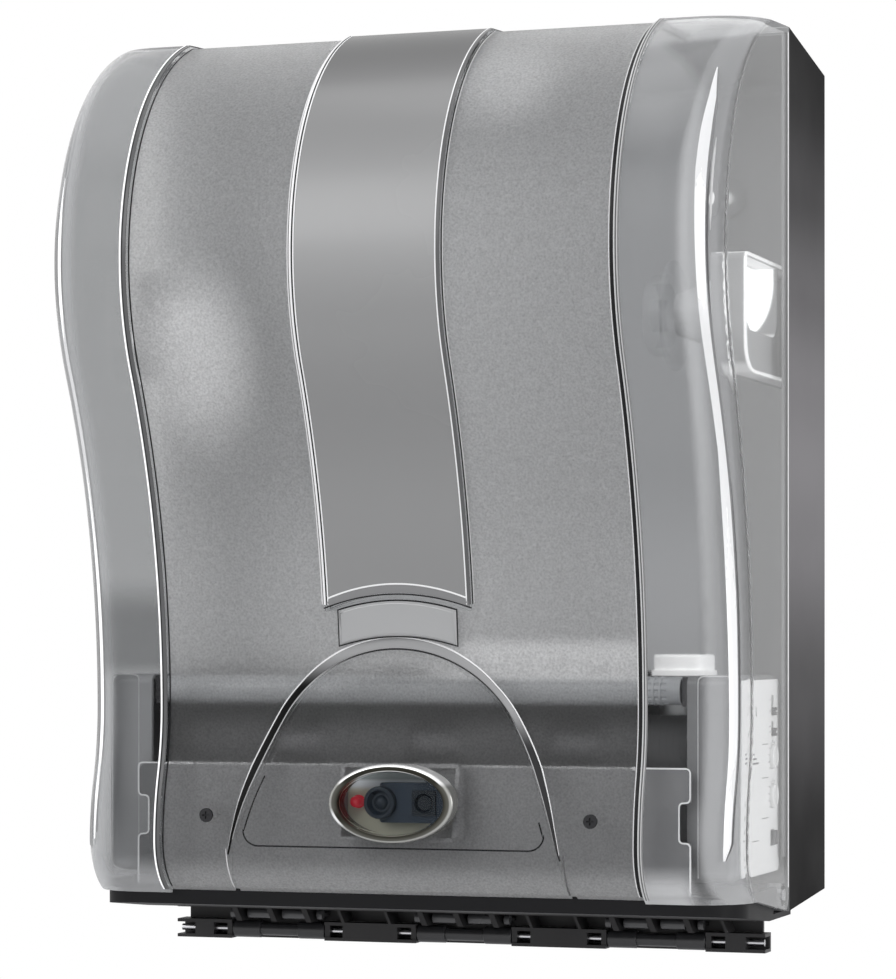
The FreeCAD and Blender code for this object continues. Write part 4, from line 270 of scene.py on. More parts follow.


# %% [markdown]
# The mechanism is plain moulded plastic. The end caps and the guide plate are grey and show through
# the cover, and the pieces that grip the paper are rubber. The left end cap is painted a lighter
# grey than the right one, as painted light. The white round cap glows a little, because the studio
# light does not reach it behind the cover.

# %% Mechanism finishes
# Painted light: the left end cap is a lighter grey than the right one.
wear(finish("left cap grey with painted light", (0.36, 0.365, 0.37), (0.4, 0.55), drift=0.03), "left_end_cap")
wear(finish("right cap grey", (0.17, 0.172, 0.175), (0.4, 0.55), drift=0.03), "right_end_cap")
wear(finish("guide plate grey", (0.158, 0.159, 0.163), (0.35, 0.5), drift=0.04),
     "front_guide_plate")
wear(finish("gearbox dark plastic", (0.02, 0.02, 0.022), (0.45, 0.6)),
     "gearbox", "battery_box", "battery_lid")
wear(finish("sensor holder grey", (0.165, 0.166, 0.17), (0.4, 0.5)), "sensor_holder")
wear(finish("cap white", (0.84, 0.84, 0.83), (0.3, 0.42), bump=0.03, drift=0.02),
     "length_knob", "delay_knob")
wear(finish("round cap white", (0.90, 0.90, 0.89), (0.3, 0.42), bump=0.03, drift=0.02,
            Emission_Color=WHITE, Emission_Strength=0.22), "motor_cap")
roller_grey = wear(finish("guide roller grey", (0.34, 0.35, 0.36), (0.3, 0.45)), "guide_roller")
rubber = wear(finish("roller rubber", (0.08, 0.08, 0.083), (0.75, 0.9), grain=1500.0, bump=0.18),
              "feed_sleeves", "pressure_roller")
wear(finish("gear cream plastic", (0.74, 0.72, 0.64), (0.35, 0.45), drift=0.03),
     "roller_gear", "idler_gear", "drive_pinion", "roller_bushes")
wear(finish("control black", (0.018, 0.018, 0.02), (0.4, 0.55)),
     "power_switch", "mode_switch", "feed_button", "dc_jack")
wear(finish("panel white", (0.95, 0.95, 0.94), (0.4, 0.5), bump=0.02, drift=0.015), "control_label")
wear(finish("battery wrap", (0.10, 0.11, 0.13), (0.25, 0.35), bump=0.02), "battery_cells")

# %% [markdown]
# Metal parts take their colour from the reflection, so they only need a metallic surface with a
# fine, slightly uneven gloss. The feed roller's core is dull, and the two cover screws are dark.

# %% Metal finishes
for name, colour, gloss, grain, bump, metallic, worn_by in (
        ("turned steel", (0.62, 0.62, 0.64), (0.24, 0.34), 2200.0, 0.03, 1.0,
         ("hinge_pins", "arm_pins", "exit_rod", "case_screws")),
        ("dull roller steel", (0.12, 0.12, 0.125), (0.55, 0.65), 2200.0, 0.04, 1.0,
         ("feed_roller",)),
        ("dark screw steel", (0.02, 0.02, 0.022), (0.5, 0.6), 2200.0, 0.05, 0.6,
         ("cover_screws",)),
        ("ground blade steel", (0.70, 0.70, 0.72), (0.16, 0.28), 2600.0, 0.04, 1.0,
         ("tear_bar",)),
        ("zinc pressing", (0.55, 0.56, 0.57), (0.32, 0.45), 400.0, 0.03, 1.0,
         ("lock_barrel", "lock_cam", "lock_catch", "motor")),
        ("contact metal", (0.78, 0.70, 0.45), (0.2, 0.3), 900.0, 0.05, 1.0,
         ("battery_contacts",))):
    wear(finish(name, colour, gloss, grain=grain, bump=bump, Metallic=metallic), *worn_by)

# %% [markdown]
# The strip under the tray is satin black plastic. Its rollers and bars are a little smoother than
# the ribbed guide, because paper runs over them.

# %% Exit strip finishes
wear(finish("strip satin black", (0.030, 0.029, 0.030), (0.38, 0.52), bump=0.06, IOR=1.35),
     "exit_guide", "exit_rail")
wear(finish("spool black", (0.030, 0.030, 0.032), (0.26, 0.36), bump=0.03),
     "exit_roller_left", "exit_roller_centre", "exit_roller_right")
wear(finish("bar dark grey", (0.075, 0.075, 0.078), (0.22, 0.32), bump=0.03), "exit_bars")
wear(finish("tray dark grey", (0.014, 0.014, 0.015), (0.4, 0.55), IOR=1.15), "base_tray")

# %% [markdown]
# The sensor sits behind a small oval window with a bright rim. Behind it are a bare board, a dark
# blue block with a receiver, a ringed emitter and a red lamp. The other boards are green.

# %% Sensor finishes
wear(finish("green board", (0.03, 0.15, 0.07), (0.3, 0.42)), "main_board", "control_board")
wear(finish("module dark blue", (0.018, 0.027, 0.041), (0.28, 0.4), bump=0.03, IOR=1.25),
     "sensor_module")
wear(finish("emitter ring", (0.008, 0.013, 0.021), (0.12, 0.2), bump=0.02, IOR=1.3),
     "sensor_emitter")
wear(finish("receiver face", (0.004, 0.007, 0.012), (0.12, 0.2), bump=0.02, IOR=1.3),
     "sensor_receiver")
wear(finish("lamp red", (0.55, 0.006, 0.02), (0.12, 0.2), bump=0.02,
            Emission_Color=(0.9, 0.02, 0.06, 1.0), Emission_Strength=0.12), "indicator_led")

# %% [markdown]
# Some finishes change with place. `axes` reads where a point lies or which way its face points,
# `ease` makes a soft step of such a value, `window` a soft band and `tones_along` a run of tones.
# `tone_mix` blends two tones by a mask.

# %% Mask helpers
def axes(tree, kind="Object"):
    """X, Y and Z of a point on the piece, or of the direction its face points in."""
    place = add_node(tree, "ShaderNodeTexCoord").outputs[kind]
    return add_node(tree, "ShaderNodeSeparateXYZ", {0: place}).outputs[:]


def tone_mix(factor, first, second):
    first, second = [(*value, 1.0) if isinstance(value, tuple) else value
                     for value in (first, second)]
    feeds = {"Factor": factor, "A": first, "B": second}
    return add_node(factor.id_data, "ShaderNodeMix", feeds, data_type="RGBA").outputs["Result"]


def ease(value, start, end):
    """Smooth step of a value from 0 at the start to 1 at the end."""
    rising = float(start < end)
    feeds = {"Value": value, "From Min": min(start, end), "From Max": max(start, end),
             "To Min": 1.0 - rising, "To Max": rising}
    return add_node(value.id_data, "ShaderNodeMapRange", feeds,
                    interpolation_type="SMOOTHSTEP").outputs["Result"]


def window(value, *edges):
    """Product of two soft steps: 1 between them and 0 beyond."""
    return times(ease(value, *edges[:2]), ease(value, *edges[2:]))


def oval(tree, middle, half):
    """X, Y and Z in shares of an oval's half sizes, and the distance they make, 1 on the oval."""
    shares = [scaled(value, 1.0 / h, -m / h) for value, m, h in zip(axes(tree), middle, half)]
    return shares, math_node("SQRT", plus(*[times(share, share) for share in shares]))


def tones_along(value, low, high, stops):
    """Tones that follow a value, given as (value, tone) stops between a low and a high end."""
    tree = value.id_data
    place = add_node(tree, "ShaderNodeMapRange",
                     {"Value": value, "From Min": low, "From Max": high})
    ramp = add_node(tree, "ShaderNodeValToRGB", {"Fac": place.outputs["Result"]})
    ramp.color_ramp.interpolation = "EASE"
    marks = ramp.color_ramp.elements
    while len(marks) < len(stops):
        marks.new(0.5)
    for mark, (height, tone) in zip(marks, stops):
        mark.position = (height - low) / (high - low)
        mark.color = (*tone, 1.0)
    return ramp.outputs["Color"]


# %% [markdown]
# The rear housing is dark outside and pale inside: the pale inner face makes the smoked cover look
# light grey. One material does both, because object coordinates say whether a point lies inside the
# outer faces. Inside, painted light and shade make it lighter low down and just right of the
# middle, darker further left and much darker at the far right. The outer sides carry a painted
# sheen, lighter halfway up, that stands for the reflection of a soft light.

# %% Rear housing
SIDE_IN = 0.1487
BACK_IN = -0.0013
LIP_Y = -0.0796
ROOF_RISE, ROOF_IN = -0.145, 0.1815
FLOOR_RISE, FLOOR_IN = 0.07, -0.1875
# Painted sheen of the outer sides, by height.
SIDE_SHEEN_GREYS = [
    (-0.195, 0.011), (-0.165, 0.015), (-0.098, 0.078), (-0.03, 0.20), (0.005, 0.23),
    (0.04, 0.205), (0.081, 0.135), (0.125, 0.062), (0.17, 0.018), (0.19, 0.012)]


def housing_tone_and_painted_light(tree, dark):
    x, y, z = axes(tree)
    width = math_node("ABSOLUTE", x)
    inside = times(math_node("LESS_THAN", width, SIDE_IN),
                   math_node("LESS_THAN", y, BACK_IN),
                   math_node("LESS_THAN", z, scaled(y, ROOF_RISE, ROOF_IN)),
                   math_node("GREATER_THAN", z, scaled(y, FLOOR_RISE, FLOOR_IN)))
    inside = highest(inside, math_node("LESS_THAN", y, LIP_Y))
    # Painted sheen: the outer sides are lighter halfway up.
    greys = [(height, (grey, grey * 0.97, grey)) for height, grey in SIDE_SHEEN_GREYS]
    outer = tone_mix(math_node("GREATER_THAN", width, SIDE_IN), dark,
                     tones_along(z, -0.2, 0.2, greys))
    # Painted light and shade inside: lighter low down and right of the middle, darker elsewhere.
    low = ease(z, 0.01, -0.07)
    left = tone_mix(low, (0.64, 0.645, 0.65), (0.86, 0.865, 0.87))
    middle = tone_mix(low, (0.70, 0.705, 0.71), (0.98, 0.985, 0.99))
    inner = tone_mix(ease(x, 0.03, 0.06), left, middle)
    inner = tone_mix(ease(x, 0.088, 0.100), inner, (0.25, 0.252, 0.255))
    return tone_mix(inside, outer, inner)


wear(finish("housing dark with painted light", (0.020, 0.018, 0.020), (0.36, 0.48), grain=1300.0, IOR=1.04,
            tone=housing_tone_and_painted_light), "rear_housing")

# %% [markdown]
# The chassis is nearly black, with one pale end that shows in the right notch of the guide plate.
# The roll arms are white plastic with white level rims; their flanks and side edges are painted
# grey as shade. A rounded patch of painted light lies in each thumb pocket, and in the right arm's
# pocket it also glows a little, because the studio light does not reach it.

# %% Chassis and roll arms
def chassis_tone(tree, dark):
    x, _, z = axes(tree)
    right_end = times(ease(x, 0.112, 0.116), ease(z, -0.126, -0.130))
    return tone_mix(right_end, dark, (0.26, 0.262, 0.265))


POCKET_Y, POCKET_HALF = -0.0885, 0.042
POCKET_FLOOR, WALL_HALF = 0.131, 0.01408
POCKET_FOOT, POCKET_DROP = 0.083, 0.024


def painted_pocket_light(side_on, facing_y, width, y, z):
    """Painted patch of light in the thumb pocket: on its floor and the start of its rear wall."""
    wall = times(ease(facing_y, -0.6, -0.8), ease(width, 0.1304, 0.1312),
                 window(y, -0.082, -0.078, -0.070, -0.0715))
    base = times(window(width, 0.1296, 0.1304, 0.1330, 0.1325), side_on)
    up_wall = scaled(highest(width, POCKET_FLOOR), 1.0 / WALL_HALF, -POCKET_FLOOR / WALL_HALF)
    run = plus(scaled(y, 1.0 / POCKET_HALF, -POCKET_Y / POCKET_HALF), up_wall)
    below = math_node("MINIMUM", math_node("SUBTRACT", z, POCKET_FOOT), 0.0)
    down = math_node("DIVIDE", below, POCKET_DROP)
    far = plus(times(run, run), times(down, down))
    return times(ease(far, 1.05, 0.95), highest(base, wall))


def build_arm():
    paint = finish("arm plastic with painted light and shade", (0.86, 0.86, 0.86), (0.35, 0.48), bump=0.04, drift=0.02)
    tree, shader = opened(paint)
    x, y, z = axes(tree)
    facing_x, facing_y, facing_z = axes(tree, "Normal")
    width = math_node("ABSOLUTE", x)
    side_on = ease(math_node("ABSOLUTE", facing_x), 0.6, 0.8)
    level = ease(math_node("ABSOLUTE", facing_z), 0.7, 0.9)
    # Painted shade: the flanks and side edges are greyer than the white plastic.
    shaded_flank = tone_mix(ease(width, 0.134, 0.138), (0.44, 0.442, 0.446), (0.30, 0.302, 0.306))
    edge = tone_mix(ease(width, 0.1280, 0.1288), (0.46, 0.462, 0.466), (0.27, 0.272, 0.275))
    tones = tone_mix(side_on, edge, shaded_flank)
    rim_share = times(level, ease(width, 0.1312, 0.1330))
    tones = tone_mix(rim_share, tones, (0.85, 0.85, 0.85))
    # Painted light in both thumb pockets; on the right it also glows.
    lit = painted_pocket_light(side_on, facing_y, width, y, z)
    on_right = times(lit, ease(x, 0.0, 0.1))
    feed(shader, {"Base Color": tone_mix(lit, tones, (0.98, 0.98, 0.98)),
                  "Emission Color": tone_mix(on_right, (0.0, 0.0, 0.0), (1.0, 1.0, 1.0)),
                  "Emission Strength": 0.65})
    return paint


wear(finish("chassis dark grey", (0.055, 0.055, 0.058), (0.5, 0.65), tone=chassis_tone,
            Specular_IOR_Level=0.25), "mechanism_chassis")
wear(build_arm(), "roll_arm_left", "roll_arm_right")

# %% [markdown]
# The bezel is bright plated, and its reflection of the room is painted in rings: a bright lip round
# the window, a dark groove, and an outer slope that is bright at the top and the lower left and
# dull elsewhere. The board is cream inside the window, with greyer bands above it that are a
# painted reflection, and plain grey beyond it.

# %% Bezel and board
ANY_DEPTH = 1e6
# Painted reflection in rings round the window, by share of the oval.
GROOVE_DARK_REFLECTION = (0.026, 0.025, 0.019)
SHINE = (0.95, 0.95, 0.94)
LIT_REFLECTION_RINGS = [
    (0.76, (0.30, 0.30, 0.28)), (0.80, (0.75, 0.75, 0.73)), (0.825, (0.62, 0.62, 0.60)),
    (0.84, GROOVE_DARK_REFLECTION), (0.925, GROOVE_DARK_REFLECTION), (0.945, SHINE), (1.02, SHINE)]
DULL_REFLECTION_RINGS = [
    (0.76, (0.12, 0.12, 0.11)), (0.80, (0.60, 0.60, 0.57)), (0.825, (0.16, 0.155, 0.13)),
    (0.84, GROOVE_DARK_REFLECTION), (0.93, (0.10, 0.098, 0.085)), (0.965, (0.42, 0.42, 0.40)),
    (1.02, (0.20, 0.20, 0.19))]


def window_oval(tree):
    """The oval that fills the bezel's outline, with its depth left out."""
    low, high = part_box("sensor_bezel")
    half = (high - low) / 2.0
    (across, _, up), far = oval(tree, (low + high) / 2.0, (half.x, ANY_DEPTH, half.z))
    return far, across, up


def bezel_painted_reflection(tree, _):
    far, across, up = window_oval(tree)
    lit, dull = [tones_along(far, 0.7, 1.02, rings) for rings in (LIT_REFLECTION_RINGS, DULL_REFLECTION_RINGS)]
    slope = scaled(across, -0.75, up)
    lower_left = times(ease(up, -0.1, -0.35), ease(slope, -0.15, 0.2))
    return tone_mix(highest(ease(up, 0.42, 0.56), lower_left), dull, lit)


def board_tone_and_reflection(tree, cream):
    far, _, up = window_oval(tree)
    # Painted reflection: greyer bands above the window.
    cream = tone_mix(ease(up, 0.25, 0.42), cream, (0.62, 0.64, 0.66))
    cream = tone_mix(ease(up, 0.50, 0.60), cream, (0.25, 0.275, 0.27))
    return tone_mix(ease(far, 0.97, 0.9), (0.165, 0.166, 0.17), cream)


wear(finish("bezel plating with painted reflection", (0.7, 0.7, 0.7), (0.10, 0.16), grain=500.0, bump=0.02,
            tone=bezel_painted_reflection, Metallic=0.5, IOR=1.2), "sensor_bezel")
wear(finish("bare board", (0.44, 0.425, 0.33), (0.4, 0.5), grain=1200.0, tone=board_tone_and_reflection),
     "sensor_board")

# %% [markdown]
# The cover is smoked, see-through plastic. Two broad panels beside the middle strip are finely
# frosted and the bands between them are smooth. A frosted wall blurs what is far behind it, so
# light really is bent here: the shader is a rough clear plastic with a grey tint. Light that only
# has to reach the inside passes straight through, which keeps speckles away. In places the skin is
# made hazy so that it shows painted light: soft painted glows on the panels, and painted light at
# the foot, at the corners and along the roof. The smooth bands' tint is painted lighter to the
# right, with a painted shade low on the far left.

# %% Smoked cover
PANEL_EDGE = 0.107
STRIP_EDGE = 0.033
PANEL_END = -0.063
SOFT_EDGE = 0.0006
PASSED_TINT = (0.93, 0.93, 0.93, 1.0)
CLEARNESS = 0.99
# Amounts of painted light, given as haze, and of painted glows on the panels.
RIGHT_CORNER_LIGHT, LEFT_CORNER_LIGHT, ROOF_LIGHT = 0.17, 0.42, 0.09
LEFT_GLOW, RIGHT_GLOW, PANEL_GLOW, LOW_GLOW = 0.34, 0.14, 0.07, 0.26
PANEL_LIFT_LIGHT, PANEL_FOOT_LIGHT = 0.03, 0.14
LEATHER_SPAN, LEATHER_DARK = 0.75, 0.34
FROST_ROUGH, FROST_BUMP, CLEAR_BUMP = 0.26, 0.6, 0.02


def cover_zones(x, z):
    """Masks of the frosted panels and of the flat sides."""
    width = math_node("ABSOLUTE", x)
    beside_strip = ease(width, STRIP_EDGE, STRIP_EDGE + SOFT_EDGE)
    below_strip = ease(z, PANEL_END + SOFT_EDGE, PANEL_END)
    within = ease(width, PANEL_EDGE + SOFT_EDGE, PANEL_EDGE)
    frosted = times(highest(beside_strip, below_strip), within)
    return frosted, ease(width, 0.138, 0.147)


def pass_light(paint):
    """Let light on its way to the inside go straight through a clear piece."""
    tree, shader = opened(paint)
    through = add_node(tree, "ShaderNodeBsdfTransparent", {"Color": PASSED_TINT})
    path = add_node(tree, "ShaderNodeLightPath").outputs
    which = highest(path["Is Shadow Ray"], path["Is Diffuse Ray"])
    mixed = add_node(tree, "ShaderNodeMixShader",
                     {"Fac": which, 1: shader.outputs[0], 2: through.outputs[0]})
    feed(tree.nodes["Material Output"], {"Surface": mixed.outputs[0]})


def painted_glow(tree, spot, reach, strength):
    """Soft oval painted glow: its full strength at a spot on the piece, 0 beyond its reach."""
    feeds = {"Value": oval(tree, spot, reach)[1], "To Min": strength, "To Max": 0.0}
    return add_node(tree, "ShaderNodeMapRange", feeds,
                    interpolation_type="SMOOTHERSTEP").outputs["Result"]


def painted_corner_light(tree, clear):
    """Painted light, as haze, where the outer skin rolls into the sides and, where clear, into the
    roof.
    """
    facing_x, facing_y, facing_z = axes(tree, "Normal")
    right = times(window(facing_x, 0.30, 0.50, 0.985, 0.94), RIGHT_CORNER_LIGHT)
    left = times(ease(facing_x, -0.25, -0.60), LEFT_CORNER_LIGHT)
    roof = times(ease(facing_z, 0.30, 0.55), clear, ROOF_LIGHT)
    return times(highest(plus(right, left), roof), ease(facing_y, 0.1, -0.1))


def painted_panel_glows(tree, x, z):
    """Painted glows: a large one on the left panel, a small one high on the right, and a band low
    down.
    """
    glows = plus(painted_glow(tree, (-0.080, -0.2, 0.046), (0.040, 0.3, 0.056), LEFT_GLOW),
                 painted_glow(tree, (0.055, -0.2, 0.160), (0.036, 0.3, 0.032), RIGHT_GLOW), PANEL_GLOW)
    low_light_band = times(window(z, -0.072, -0.080, -0.094, -0.090), ease(x, 0.0, 0.04), LOW_GLOW)
    return plus(times(glows, ease(z, -0.105, -0.075)), low_light_band)


def build_cover():
    paint = finish("smoked cover with painted light", (0.5, 0.5, 0.5), (0.03, 0.05), grain=1000.0, bump=0.02,
                   drift=0.02, IOR=1.13, Specular_Tint=(0.3, 0.3, 0.3, 1.0))
    tree, shader = opened(paint)
    x, _, z = axes(tree)
    frosted, side = cover_zones(x, z)
    clear = math_node("SUBTRACT", 1.0, frosted)
    relief = source(shader, "Normal").node
    leather = scaled(source(relief, "Height"), LEATHER_SPAN, LEATHER_DARK)

    # Painted tint of the smooth bands: lighter to the right, with painted shade low on the far
    # left.
    smooth = tone_mix(ease(x, -0.09, 0.11), (0.585, 0.59, 0.595), (0.90, 0.905, 0.91))
    painted_left_shade = times(window(z, -0.045, -0.066, -0.094, -0.084), ease(x, -0.108, -0.112))
    smooth = tone_mix(painted_left_shade, smooth, (0.44, 0.445, 0.45))
    roughness = plus(source(shader, "Roughness"), scaled(side, -0.08, 0.08))

    # Painted light at the foot, given as haze.
    clear_foot_light = times(scaled(ease(x, 0.124, 0.134), -0.26, 0.36), clear)
    foot = times(ease(z, -0.168, -0.182), scaled(frosted, PANEL_FOOT_LIGHT, clear_foot_light))
    # Haze that shows painted light: a small lift on the panels, the foot, the glows and the
    # corners.
    haze_as_light = plus(scaled(frosted, PANEL_LIFT_LIGHT, foot),
                times(painted_panel_glows(tree, x, z), frosted), painted_corner_light(tree, clear))
    feed(shader, {"Base Color": tone_mix(frosted, smooth, leather),
                  "Roughness": scaled(frosted, FROST_ROUGH, roughness),
                  "Transmission Weight": math_node("SUBTRACT", CLEARNESS, haze_as_light)})
    feed(relief, {"Strength": scaled(frosted, FROST_BUMP, CLEAR_BUMP)})
    pass_light(paint)
    return paint


wear(build_cover(), "front_cover")

# %% [markdown]
# The smooth strip down the middle is a separate inlay with a soft shine. Where it turns up or down
# it shows light and dark bands of painted reflection, which are part of its tone. The badge below
# it is a blank satin plate. The roll hubs and the window are clear plastic.

# %% Inlay, badge, hubs and window
# Painted reflection: light and dark bands by height.
INLAY_REFLECTION_GREYS = [
    (-0.061, 0.26), (-0.02, 0.275), (0.020, 0.255), (0.058, 0.285), (0.100, 0.37), (0.145, 0.265),
    (0.190, 0.095)]


def inlay_painted_reflection(tree, _):
    greys = [(height, (grey, grey, grey)) for height, grey in INLAY_REFLECTION_GREYS]
    return tones_along(axes(tree)[2], -0.07, 0.2, greys)


wear(finish("smooth inlay with painted reflection", (0.30, 0.30, 0.30), (0.22, 0.30), bump=0.01, tone=inlay_painted_reflection, IOR=1.3),
     "centre_panel")
badge_satin = wear(finish("badge satin", (0.37, 0.372, 0.375), (0.35, 0.45), grain=700.0,
                          bump=0.06, Metallic=0.2), "badge_plate")
wear(finish("hub clear plastic", (0.55, 0.56, 0.57), (0.1, 0.18), bump=0.02, Alpha=0.1),
     "roll_hub_left", "roll_hub_right")
lens_clear = wear(finish("window clear", (0.93, 0.96, 0.97), (0.02, 0.03), bump=0.01, drift=0.01,
                         Transmission_Weight=1.0, IOR=1.25,
                         Specular_Tint=(0.3, 0.3, 0.3, 1.0)), "sensor_lens")
pass_light(lens_clear)

# %% [markdown]
# The drawn details follow the cover's skin, so its side profile is needed here too: a sloping roof,
# a bulge, a waist, a belly and a rounded foot, each an arc that runs smoothly into the next.

# %% The cover's skin
TOP_Z = 0.190
JOINT = (-0.080, 0.1946)
BULGE_R = 0.108
BULGE_C = Vector((-0.108, TOP_Z - BULGE_R * math.sin(math.radians(70.81))))
BULGE_START = 109.2
WAIST = Vector((-0.1705, -0.105))
BELLY = Vector((-0.1788, -0.163))
FOOT_R = 0.027
FOOT_TURN = 60.5
COARSE, FINE = 0.003, 0.0006


def arc(centre, radius, start, end, steps):
    """Points along an arc between two angles, each with its direction from the centre."""
    turns = [math.radians(start + (end - start) * i / steps) for i in range(steps + 1)]
    spokes = [Vector((math.cos(turn), math.sin(turn))) for turn in turns]
    return [(centre + radius * spoke, spoke) for spoke in spokes]


def skin_arcs():
    """The arcs as (centre, radius, side of the centre, start angle, end angle)."""
    step = BULGE_C - WAIST
    waist_r = (step.x ** 2 + step.y ** 2 - BULGE_R ** 2) / (2.0 * (BULGE_R - step.x))
    waist_c = Vector((WAIST.x - waist_r, WAIST.y))
    drop = WAIST - BELLY
    belly_r = (drop.x ** 2 + drop.y ** 2) / (4.0 * drop.x)
    turn = math.degrees(math.atan2(step.y, BULGE_C.x - waist_c.x))
    dip = math.degrees(math.asin(drop.y / (2.0 * belly_r)))
    return [(BULGE_C, BULGE_R, -1, BULGE_START, 180.0 + turn), (waist_c, waist_r, 1, turn, 0.0),
            (Vector((WAIST.x - belly_r, WAIST.y)), belly_r, 1, 0.0, -dip),
            (Vector((BELLY.x + belly_r, BELLY.y)), belly_r, -1, 180.0 - dip, 180.0),
            (Vector((BELLY.x + FOOT_R, BELLY.y)), FOOT_R, -1, 180.0, 180.0 + FOOT_TURN)]


ARCS = skin_arcs()


def skin_path(top_z, foot_z, spacing=COARSE, roof_y=None):
    """Points and outward directions (Y, Z) down the skin between two heights."""
    found = []
    for centre, radius, inward, start, end in ARCS:
        count = max(2, int(math.radians(abs(end - start)) * radius / spacing))
        found += [(p, -inward * n) for p, n in arc(centre, radius, start, end, count)]
    path = [found[0]]
    for point, outward in found[1:]:
        if (point - path[-1][0]).length > spacing * 0.4:
            path.append((point, outward))
    path = [(p, n) for p, n in path if foot_z <= p.y <= top_z]
    if roof_y is not None:
        start = path[0][0]
        run, rise = JOINT[0] - start.x, JOINT[1] - TOP_Z
        lean = Vector((-rise, run)).normalized()
        roof = [(Vector((y, start.y + rise / run * (y - start.x))), lean)
                for y in (roof_y, (roof_y + start.x) / 2.0)]
        path = roof + path
    return path


SKIN_TABLE = skin_path(0.1895, -0.187, FINE)


def on_skin(x, z, depth):
    """The skin's point at a place on the front, moved in by a depth, and its outward direction."""
    point, outward = min(SKIN_TABLE, key=lambda entry: abs(entry[0].y - z))
    spot = point - outward * depth
    return Vector((x, spot.x, z - outward.y * depth)), Vector((0.0, outward.x, outward.y))


print("skin points", len(SKIN_TABLE))

# %% [markdown]
# A ribbon is a thin crowned strip that lies on the skin. Each cross-section has two edges, a raised
# middle and a sunk underside, so the strip is closed and shades as a rounded bead.

# %% Ribbon helpers
SUNK = -0.0003
EDGE_LIFT = 0.00004
LIFT, HIGH_LIFT = 0.0002, 0.0003
SHARP_ANGLE = 40.0


def add_piece(name, mesh, paint, body):
    """Clean a mesh and add it as a piece that moves with a body."""
    work = bmesh.new()
    work.from_mesh(mesh)
    bmesh.ops.remove_doubles(work, verts=work.verts, dist=1e-7)
    bmesh.ops.recalc_face_normals(work, faces=work.faces)
    work.to_mesh(mesh)
    work.free()
    mesh.materials.clear()
    mesh.materials.append(paint)
    mesh.shade_smooth()
    mesh.set_sharp_from_angle(angle=math.radians(SHARP_ANGLE))
    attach(new_object(name, mesh), body)
    print(name, "with", len(mesh.polygons), "faces on", body)


def closed_strip(name, sections, paint):
    count = len(sections[0])
    verts = [tuple(point) for section in sections for point in section]
    faces = []
    for i in range(len(sections) - 1):
        for j in range(count):
            k = (j + 1) % count
            faces.append((i * count + j, i * count + k, (i + 1) * count + k, (i + 1) * count + j))
    faces.append(tuple(range(count)))
    faces.append(tuple(range((len(sections) - 1) * count, len(sections) * count)))
    add_piece(name, new_mesh(name, verts, faces), paint, "cover")


def ribbon(name, places, lift, paint):
    """A strip through places, each given as its left edge, right edge and outward direction."""
    closed_strip(name, [[left + out * SUNK, left + out * EDGE_LIFT,
                         (left + right) / 2.0 + out * lift,
                         right + out * EDGE_LIFT, right + out * SUNK]
                        for left, right, out in places], paint)


def upright_ribbon(name, x0, x1, depth, foot_z, paint, top_z=0.1905, roof_y=None):
    places = []
    for point, outward in skin_path(top_z, foot_z, COARSE, roof_y):
        spot = point - outward * depth
        places.append((Vector((x0, *spot)), Vector((x1, *spot)), Vector((0.0, *outward))))
    ribbon(name, places, LIFT, paint)


# %% [markdown]
# Along the panel edges the clear plastic catches the light: a bright line, a dark one beside it,
# then bright again. They are real steps in the cover, but the highlights are finer than its mesh,
# so ribbons of painted highlight and painted shade are drawn along the steps. Left of the middle
# strip they are mostly white, and right of it mostly grey with a dark edge. Two short lines at the
# dome's feet are drawn the same way.

# %% Edge lines down the cover
THIN = {"bump": 0.01}
glint = finish("edge highlight", (0.93, 0.93, 0.93), (0.12, 0.2), drift=0.01, **THIN)
far_glint = finish("far edge highlight", (0.93, 0.93, 0.93), (0.12, 0.2), drift=0.01,
                   Emission_Color=WHITE, Emission_Strength=0.4, **THIN)
# Painted highlights are white or pale; painted shade is grey, slate or the dark edge shadow.
pale = finish("edge pale highlight", (0.62, 0.62, 0.62), (0.15, 0.25), drift=0.05, **THIN)
grey = finish("edge grey shade", (0.235, 0.235, 0.237), (0.2, 0.3), IOR=1.3, **THIN)
slate = finish("edge slate shade", (0.115, 0.115, 0.117), (0.15, 0.25), IOR=1.3, **THIN)
shade = finish("edge shadow", (0.016, 0.016, 0.017), (0.3, 0.4), IOR=1.2, **THIN)
ROOF_Y = -0.096
STEP = 0.0016
SKIN_FOOT = -0.186
STRIP_LINES = [
    ("strip_left_outer", -0.03490, -0.03435, STEP, glint),
    ("strip_left_slate", -0.03430, -0.03350, STEP, slate),
    ("strip_left_white", -0.03340, -0.03250, 0.0, glint),
    ("strip_left_dark", -0.03240, -0.03190, 0.0, shade),
    ("strip_left_inner", -0.03180, -0.03120, 0.0, glint),
    ("strip_right_inner", 0.03110, 0.03170, 0.0, glint),
    ("strip_right_slate", 0.03175, 0.03330, 0.0, slate),
    ("strip_right_dark", 0.03345, 0.03390, STEP, shade),
    ("strip_right_outer", 0.03400, 0.03435, STEP, pale)]
PANEL_LINES = [
    ("left_edge_dark", -0.1075, -0.1069, STEP, shade),
    ("left_edge_grey", -0.1096, -0.1081, 0.0, slate),
    ("left_edge_slate", -0.1101, -0.1097, 0.0, shade),
    ("left_edge_pale", -0.1110, -0.1103, 0.0, far_glint),
    ("right_edge_inner", 0.1056, 0.1060, STEP, glint),
    ("right_edge_dark", 0.1061, 0.1077, STEP, shade),
    ("right_edge_white", 0.1081, 0.1087, 0.0, pale),
    ("right_edge_slate", 0.1088, 0.1092, 0.0, slate),
    ("right_edge_pale", 0.1093, 0.1098, 0.0, pale),
    ("right_edge_grey", 0.1099, 0.1103, 0.0, grey)]
for lines, foot_z in ((STRIP_LINES, -0.062), (PANEL_LINES, SKIN_FOOT)):
    for name, x0, x1, depth, paint in lines:
        upright_ribbon(name, x0, x1, depth, foot_z, paint, roof_y=ROOF_Y)
